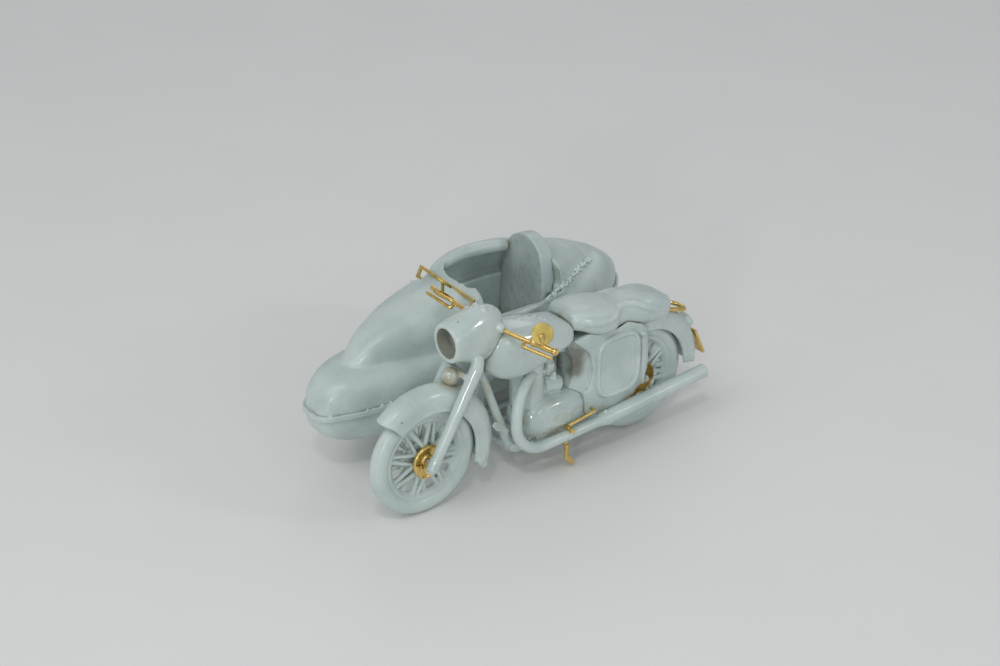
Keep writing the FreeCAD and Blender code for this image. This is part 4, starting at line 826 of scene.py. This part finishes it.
class OBJECT_OT_model_sidecar(Operator):
    """Sidecar body, belt, seat back, cushion, chassis and mudguard"""

    bl_idname = "object.model_sidecar"
    bl_label = "Sidecar"

    def execute(self, context):
        passes = context.scene.casting_settings.soften

        def uneven(mesh):
            wobble(mesh, 0.035 * MM, 2.6 * MM, 1)
            valley(mesh, seated(GLUE_SEAM, "sidecar_body"), (0.35, -0.25, 0.0), 0.42, 0.72)

        nub = blobs([(2.55, -10.25, 10.72, 0.24), (2.20, -10.05, 10.90, 0.15)], 3)
        roll = tube(FAR_COAMING, FAR_COAMING_RADII, 16)
        softened("sidecar_shell", ["sidecar_body"], 0.105, passes + 2, extra=[nub, roll], shape=uneven)
        lumps = [
            (*((spot - MIDWAY) / MM), lump[3])
            for spot, lump in zip(seated(FLASH_ON_BELT, "belt_rail"), FLASH_ON_BELT)
        ]
        softened("belt_strip", ["belt_rail"], 0.055, 2, extra=[blobs(lumps, 5, 0.45)])

        def front_face(centre, normal):
            return 1 if normal.x > 0.72 and centre.z < 12.6 else 0

        softened("passenger_seat_back", ["seat_back"], 0.07, passes + 2, ["resin", "resin_rough"], paint=front_face)
        softened("passenger_cushion", ["seat_cushion"], 0.09, passes)
        softened("chassis_tubes", ["sidecar_chassis"], 0.07, 3)
        lips = guard_lips((-6.05, -15.5, 4.06), 3.85, 28, 166)
        softened("sidecar_guard", ["sidecar_mudguard"], 0.06, 3, "resin_smooth", extra=lips)
        return {"FINISHED"}


class OBJECT_OT_model_glue_seam(Operator):
    """Rough bead of glue along the rear cowl's near side"""

    bl_idname = "object.model_glue_seam"
    bl_label = "Glue seam"

    def execute(self, context):
        line = bpy.data.meshes.new("seam")
        spots = [spot - Vector((0.0, 0.6, 0.8)) * 0.30 * MM for spot in seated(GLUE_SEAM, "sidecar_body")]
        line.from_pydata(spots, [(k, k + 1) for k in range(len(spots) - 1)], [])
        item = add_object("crust_work", tree_mesh(crust_tree(), "crust", line))
        even_out(item, 0.035, 3)
        settle(item, "glue_seam", ["glue_crust"], "model")
        return {"FINISHED"}


SOCKET_X = 6.6
SOCKET_Z = 11.75
GLUE_ON_LAMP = [
    (5.25, 0.05, 13.52, 0.15), (4.95, -0.15, 13.58, 0.19), (4.62, 0.05, 13.62, 0.17), (4.40, 0.42, 13.50, 0.18),
    (4.50, -0.35, 13.50, 0.21), (4.15, 0.15, 13.48, 0.15), (5.05, -0.55, 13.40, 0.17), (4.75, -0.75, 13.20, 0.20),
    (4.20, -0.25, 13.42, 0.13),
]


class OBJECT_OT_model_front_end(Operator):
    """Lamp housing with its glue and bosses, fork, horn and front mudguard"""

    bl_idname = "object.model_front_end"
    bl_label = "Front end"

    def execute(self, context):
        passes = context.scene.casting_settings.soften
        bosses = [
            tube([(3.62, 0.62, 12.20), (3.50, 1.02, 12.16), (3.42, 1.28, 12.13)], [0.42, 0.36, 0.25]),
            tube([(3.95, -0.62, 12.35), (4.08, -1.05, 12.42), (4.14, -1.30, 12.45)], [0.40, 0.34, 0.24]),
        ]
        hub_ends = blobs([(9.15, 1.36, 4.00, 0.36), (9.15, -1.36, 4.00, 0.36)], 8, 0.05)
        legs = [
            tube(
                [(9.22, y, 3.92), (8.30, y, 5.50), (6.90, y, 7.88), (5.65, y, 10.0), (5.30, y * 0.78, 10.7)],
                [0.36, 0.39, 0.43, 0.46, 0.38], 18,
            )
            for y in (-1.30, 1.30)
        ]

        # Faces inside the lamp housing's opening take the darker finish, painted shade in the hollow.
        def inside(centre, normal):
            spot = Vector((centre.x - SOCKET_X, centre.y, centre.z - SOCKET_Z))
            return 1 if abs(spot.x) < 0.62 and math.hypot(spot.y, spot.z) < 1.04 and spot.length < 1.25 else 0

        softened(
            "fork_and_lamp", ["nacelle", "fork_leg_left", "fork_leg_right", "fork_yoke", "horn"], 0.052, passes,
            ["resin_smooth", "socket"], extra=[blobs(GLUE_ON_LAMP, 2, 0.45), hub_ends, *legs, *bosses], paint=inside,
        )
        axle = (8.87, 0.0, 4.06)
        ends = [
            tongue(axle, 52, 46.2, 0.0), tongue(axle, 194, 207.5, 0.42),
            tube([*arc_points(axle, 3.70, 0.76, 195, 199, 2), (4.92, 0.72, 2.42), (4.49, 0.60, 1.97)], 0.17),
            tube([*arc_points(axle, 4.10, 0.76, 195, 199, 2), (4.67, 0.72, 2.32), (4.43, 0.55, 1.99)], 0.20),
        ]
        softened("front_guard", ["front_mudguard"], 0.055, 4, extra=[*guard_lips(axle, 3.60, 58, 190), *ends])
        softened("front_pin", ["front_axle"], 0.03, 2)
        return {"FINISHED"}


TANK_CHIPS = [
    (1.50, -0.10, 11.72, 0.10), (1.22, 0.05, 11.70, 0.14), (0.85, -0.10, 11.62, 0.10), (0.55, -0.16, 11.56, 0.13),
    (0.25, 0.05, 11.50, 0.10), (-0.10, -0.05, 11.42, 0.14), (-0.45, 0.20, 11.34, 0.11), (-0.65, 0.45, 11.25, 0.10),
]
SEAT_CREASE = [
    (-2.48, 0.10, 10.92), (-2.50, 0.60, 10.86), (-2.72, 1.30, 10.84), (-3.49, 1.55, 10.50), (-4.45, 1.64, 10.28),
    (-5.30, 1.62, 10.22), (-5.95, 1.50, 10.42), (-6.55, 1.25, 10.60), (-7.16, 1.15, 10.62), (-7.80, 1.26, 10.52),
    (-8.50, 1.46, 10.18), (-9.35, 1.60, 9.70), (-10.42, 1.50, 9.42), (-11.10, 1.10, 9.45), (-11.38, 0.45, 9.50),
]
WAIST_X = -5.7
WAIST_LENGTH = 0.9


class OBJECT_OT_model_tank_and_seat(Operator):
    """Tank with its chipped ridge, and the dual seat with its creased edge"""

    bl_idname = "object.model_tank_and_seat"
    bl_label = "Tank and seat"

    def execute(self, context):
        passes = context.scene.casting_settings.soften
        softened("tank_casting", ["tank"], 0.062, passes, "resin_smooth", extra=[blobs(TANK_CHIPS, 6, 0.5)])
        ridge = SEAT_CREASE + [(x, -y, z) for x, y, z in reversed(SEAT_CREASE)]

        def waist(mesh):
            for vertex in mesh.vertices:
                x = (vertex.co.x - MIDWAY.x) / MM
                share = max(0.0, min(1.0, (WAIST_X - x) / WAIST_LENGTH))
                vertex.co.y = MIDWAY.y + (vertex.co.y - MIDWAY.y) * (1.03 - 0.13 * share * share * (3 - 2 * share))

        softened("seat_casting", ["dual_seat"], 0.06, passes, extra=[tube(ridge, 0.27, 14, closed=True)], shape=waist)
        return {"FINISHED"}


CASE_BUMPS = [
    (0.95, 1.20, 3.15, 0.13), (0.60, 1.30, 2.98, 0.10), (1.05, 1.00, 2.95, 0.12), (0.25, 1.35, 2.90, 0.10),
    (0.75, 1.05, 2.78, 0.11),
]


class OBJECT_OT_model_engine(Operator):
    """Engine case, cylinder, carburettor and the two exhausts"""

    bl_idname = "object.model_engine"
    bl_label = "Engine and exhausts"

    def execute(self, context):
        passes = context.scene.casting_settings.soften
        details = [
            tube([(0.55, 0.0, 5.2), (0.55, 0.0, 8.2)], [1.18, 1.14], 14), blobs(CASE_BUMPS, 9, 0.35),
            tube([(-0.5, 0.35, 6.3), (-1.9, 0.35, 6.0)], [0.62, 0.58], 12),
            blobs([(-1.30, 0.52, 6.72, 0.30), (-1.30, 0.62, 6.98, 0.20)], 12, 0.1),
        ]
        nodes = ["crankcase", "cylinder_block", "carburettor"]
        softened("engine_case", nodes, 0.055, passes, "resin_smooth", extra=details)
        for side, name in ((1, "left"), (-1, "right")):
            y = side * 2.05
            details = [
                tube([(-4.20, y, 2.92), (-4.75, y, 2.95), (-5.10, y, 2.97)], [0.40, 0.53, 0.53], 20),
                blobs([(-4.75, y, 3.46, 0.16), (-5.15, y + 0.1, 3.50, 0.10)], 4, 0.2),
            ]
            softened("exhaust_pipe_" + name, ["exhaust_" + name], 0.05, 4, extra=details)
        return {"FINISHED"}


# Outlines of thin plates, x and z in millimetres
UNDER_PANEL = [(-3.30, 5.2), (-3.45, 3.5), (-4.4, 3.10), (-6.4, 3.15), (-7.9, 3.55), (-8.0, 4.8), (-6.0, 5.6)]
FLASH_FIN = [(3.72, 4.55), (3.30, 4.02), (2.90, 3.84), (2.45, 3.28), (2.28, 3.75), (2.75, 4.30), (3.40, 4.80)]
BRAKE_TAB = [(10.15, 4.05), (9.90, 3.15), (9.55, 3.02), (9.50, 3.35), (9.72, 4.00)]
STAND_FOOT = [(-1.70, 1.75), (-1.35, 1.70), (-1.40, 0.85), (-1.95, 0.40), (-2.10, 0.55), (-1.72, 1.0)]


class OBJECT_OT_model_middle(Operator):
    """Side panels with rolled rims, frame tubes with their casting flash, rear fork and dampers"""

    bl_idname = "object.model_middle"
    bl_label = "Frame and side panels"

    def execute(self, context):
        rim = context.scene.detail_settings.panel_rim / MM
        for side, name in ((1, "left"), (-1, "right")):
            details = [
                tube(rounded_outline((-6.2, side * 1.66, 6.5), 1.80, 2.17, 3.6), rim, closed=True),
                tube(rounded_outline((-6.2, side * 1.62, 6.5), 1.38, 1.75, 3.4), 0.06, closed=True),
                tube(
                    [(-8.52, side * 1.40, 8.0), (-8.60, side * 1.44, 6.0), (-8.62, side * 1.36, 4.1)],
                    [0.20, 0.24, 0.20],
                ),
                blobs([(-8.42, side * 1.52, 8.12, 0.24)], 7, 0.15),
                slab(UNDER_PANEL, side * 1.15, 0.66),
            ]
            softened("side_panel_" + name, ["side_box_" + name], 0.055, 4, "side_resin", extra=details)
        softened("frame_tubes", ["frame"], 0.058, 3, extra=[slab(FLASH_FIN, 0.30, 0.15)])
        softened("rear_fork", ["swingarm"], 0.052, 3)
        for name in ("left", "right"):
            softened("rear_damper_" + name, ["shock_" + name], 0.045, 3)
        softened("rear_pin", ["rear_axle"], 0.03, 2)
        lips = guard_lips((-9.48, 0.0, 4.06), 3.72, 48, 178)
        softened("rear_guard", ["rear_mudguard"], 0.055, 4, extra=lips)
        return {"FINISHED"}


def brake_ring(axle_x, radius, thickness, steps):
    """Ring on a brake plate, in millimetres."""
    return tube(arc_points((axle_x, 0.68, 4.06), radius, 0.0, 0, 354, steps), thickness, closed=True)


BRASS_DETAILS = {
    "handlebar": lambda grip: [
        tube(
            [(2.76, 3.45, 11.93), (2.68, 3.75, 11.90), (2.45, 4.55, 11.80), (2.28, 5.12, 11.73)],
            [0.17, grip, grip * 0.95, grip * 0.8],
        ),
        blobs([(2.28, 5.02, 11.73, grip * 1.15)], 3, 0.1),
        tube([(2.60, 4.26, 11.88), (2.76, 4.36, 12.30), (2.80, 4.34, 12.68)], [0.14, 0.12, 0.14]),
        blobs([(2.80, 4.30, 12.74, 0.20)], 7, 0.2),
        tube([(4.20, -3.30, 12.66), (4.42, -4.28, 12.78), (4.48, -4.80, 12.84)], [0.18, grip * 0.9, grip * 0.75]),
        blobs([(2.74, 3.55, 11.93, 0.30)], 5, 0.2),
    ],
    "front_brake_plate": lambda grip: [
        brake_ring(9.15, 1.08, 0.115, 44), brake_ring(9.15, 0.42, 0.10, 24), slab(BRAKE_TAB, 0.80, 0.14),
        tube([(10.12, 0.86, 4.02), (9.90, 0.88, 3.18), (9.55, 0.92, 3.05)], 0.085),
    ],
    "rear_brake_plate": lambda grip: [
        brake_ring(-9.15, 1.08, 0.11, 44), tube([(-9.15, 0.78, 3.1), (-8.4, 0.84, 3.0), (-7.7, 0.90, 3.05)], 0.09),
    ],
    "centre_stand": lambda grip: [slab(STAND_FOOT, 1.85, 0.12)],
}
BRIGHT_BRASS = [
    "handlebar", "lever_left", "lever_right", "front_brake_plate", "centre_stand", "footpeg_left", "footpeg_right",
    "grab_rail", "plate_bracket", "windscreen_frame", "gear_lever",
]


class OBJECT_OT_model_brass(Operator):
    """Etched brass parts with softly broken edges"""

    bl_idname = "object.model_brass"
    bl_label = "Brass parts"

    def execute(self, context):
        grip = context.scene.detail_settings.grip_radius / MM

        def smaller(mesh):
            middle = sum((vertex.co for vertex in mesh.vertices), Vector()) / len(mesh.vertices)
            for vertex in mesh.vertices:
                vertex.co = middle + (vertex.co - middle) * 0.90

        for names, finish, shape in (
            # The mirrors take the rougher brass with its tint of painted shade.
            (BRIGHT_BRASS, "brass", None), (["mirror_left", "mirror_right"], "brass_dull", smaller),
            (["rear_brake_plate"], "brass_stained", None),
        ):
            for node in names:
                extra = BRASS_DETAILS[node](grip) if node in BRASS_DETAILS else []
                softened(node + "_etched", [node], 0.026, 6, finish, extra=extra, shape=shape)
        return {"FINISHED"}


# Lamps: name, the setting of their power and a share of it, width, place; all aim at the model
LAMPS = [
    ("key", "key_power", 1.0, 0.22, (0.20, 0.02, 0.24)),
    ("fill", "fill_power", 1.0, 0.10, (0.02, 0.30, 0.16)),
    ("glint", "glint_power", 0.7, 0.028, (0.10, 0.10, 0.20)),
    ("side_glint", "glint_power", 0.45, 0.028, (-0.115, 0.165, 0.100)),
    ("front_glint", "glint_power", 1.0, 0.032, (0.178, 0.146, 0.067)),
    ("back", "fill_power", 1.0, 0.16, (-0.18, -0.20, 0.20)),
]
LAMP_AIM = (0, 0, 0.006)
FLOOR_HALF = 2.0
CAMERA_AZIMUTH_DEG = 142.441
CAMERA_ELEVATION_DEG = 27.884
CAMERA_PLACE = (66.518, 82.890, 66.455)
CAMERA_LENS = 65.405


class SCENE_OT_model_stage(Operator):
    """Plain pale floor, soft lamps and the camera at the photograph's angle"""

    bl_idname = "scene.model_stage"
    bl_label = "Stage"

    def execute(self, context):
        look = context.scene.stage_settings
        half = FLOOR_HALF
        mesh = bpy.data.meshes.new("floor")
        mesh.from_pydata([(-half, -half, 0), (half, -half, 0), (half, half, 0), (-half, half, 0)], [], [(0, 1, 2, 3)])
        floor = add_object("floor", mesh)
        shader = Shader("pale_floor", 0.62)
        soft = shader.band(shader.noise(14 * MM, 3.0), 0.3, 0.7)
        colour = tuple(look.floor_colour)
        colour = shader.mix(soft, colour, tuple(value * 0.985 for value in colour))
        shader.feed(colour, shader.surface.inputs["Base Color"])
        shader.feed(shader.relief(shader.noise(0.25 * MM, 4.0), 0.01 * MM, 0.3), shader.surface.inputs["Normal"])
        mesh.materials.append(shader.material)

        for name, power, share, size, spot in LAMPS:
            light = bpy.data.lights.new(name, "AREA")
            light.energy = getattr(look, power) * share
            light.shape = "DISK"
            light.size = size
            item = bpy.data.objects.new(name, light)
            context.scene.collection.objects.link(item)
            item.location = spot
            item.rotation_mode = "QUATERNION"
            item.rotation_quaternion = (Vector(LAMP_AIM) - Vector(spot)).to_track_quat("-Z", "Y")
        world = bpy.data.worlds.new("surroundings")
        context.scene.world = world
        world.use_nodes = True
        background = world.node_tree.nodes["Background"]
        background.inputs["Color"].default_value = (0.95, 0.97, 1.0, 1.0)
        background.inputs["Strength"].default_value = look.sky

        camera = add_object("camera", bpy.data.cameras.new("camera"))
        azimuth = math.radians(CAMERA_AZIMUTH_DEG)
        elevation = math.radians(CAMERA_ELEVATION_DEG)
        back = Vector((
            math.sin(azimuth) * math.cos(elevation), -math.cos(azimuth) * math.cos(elevation), math.sin(elevation),
        ))
        camera.rotation_mode = "QUATERNION"
        camera.rotation_quaternion = (-back).to_track_quat("-Z", "Y")
        camera.location = place(*CAMERA_PLACE)
        camera.data.lens = CAMERA_LENS
        camera.data.clip_start = 0.005
        camera.data.clip_end = 10.0
        context.scene.camera = camera
        context.scene.view_settings.view_transform = "Standard"
        return {"FINISHED"}


class VIEW3D_PT_model(Panel):
    """Buttons that build the dressed model"""

    bl_label = "Sidecar Motorcycle Model"
    bl_space_type = "VIEW_3D"
    bl_region_type = "UI"
    bl_category = "Model"

    def draw(self, context):
        for operator in OPERATORS:
            self.layout.operator(operator.bl_idname)


OPERATORS = [
    SCENE_OT_model_stage,
    OBJECT_OT_model_wheels,
    OBJECT_OT_model_sidecar,
    OBJECT_OT_model_glue_seam,
    OBJECT_OT_model_front_end,
    OBJECT_OT_model_tank_and_seat,
    OBJECT_OT_model_engine,
    OBJECT_OT_model_middle,
    OBJECT_OT_model_brass,
]
SETTINGS = {
    "casting_settings": CastingSettings,
    "brass_settings": BrassSettings,
    "wheel_settings": WheelSettings,
    "detail_settings": DetailSettings,
    "stage_settings": StageSettings,
}


def register():
    for name, group in SETTINGS.items():
        bpy.utils.register_class(group)
        setattr(bpy.types.Scene, name, PointerProperty(type=group))
    for cls in [*OPERATORS, VIEW3D_PT_model]:
        bpy.utils.register_class(cls)


def unregister():
    for cls in [VIEW3D_PT_model, *reversed(OPERATORS)]:
        bpy.utils.unregister_class(cls)
    for name, group in SETTINGS.items():
        delattr(bpy.types.Scene, name)
        bpy.utils.unregister_class(group)


def main():
    register()
    for operator in OPERATORS:
        area, action = operator.bl_idname.split(".")
        getattr(getattr(bpy.ops, area), action)()


if __name__ == "__main__":
    main()
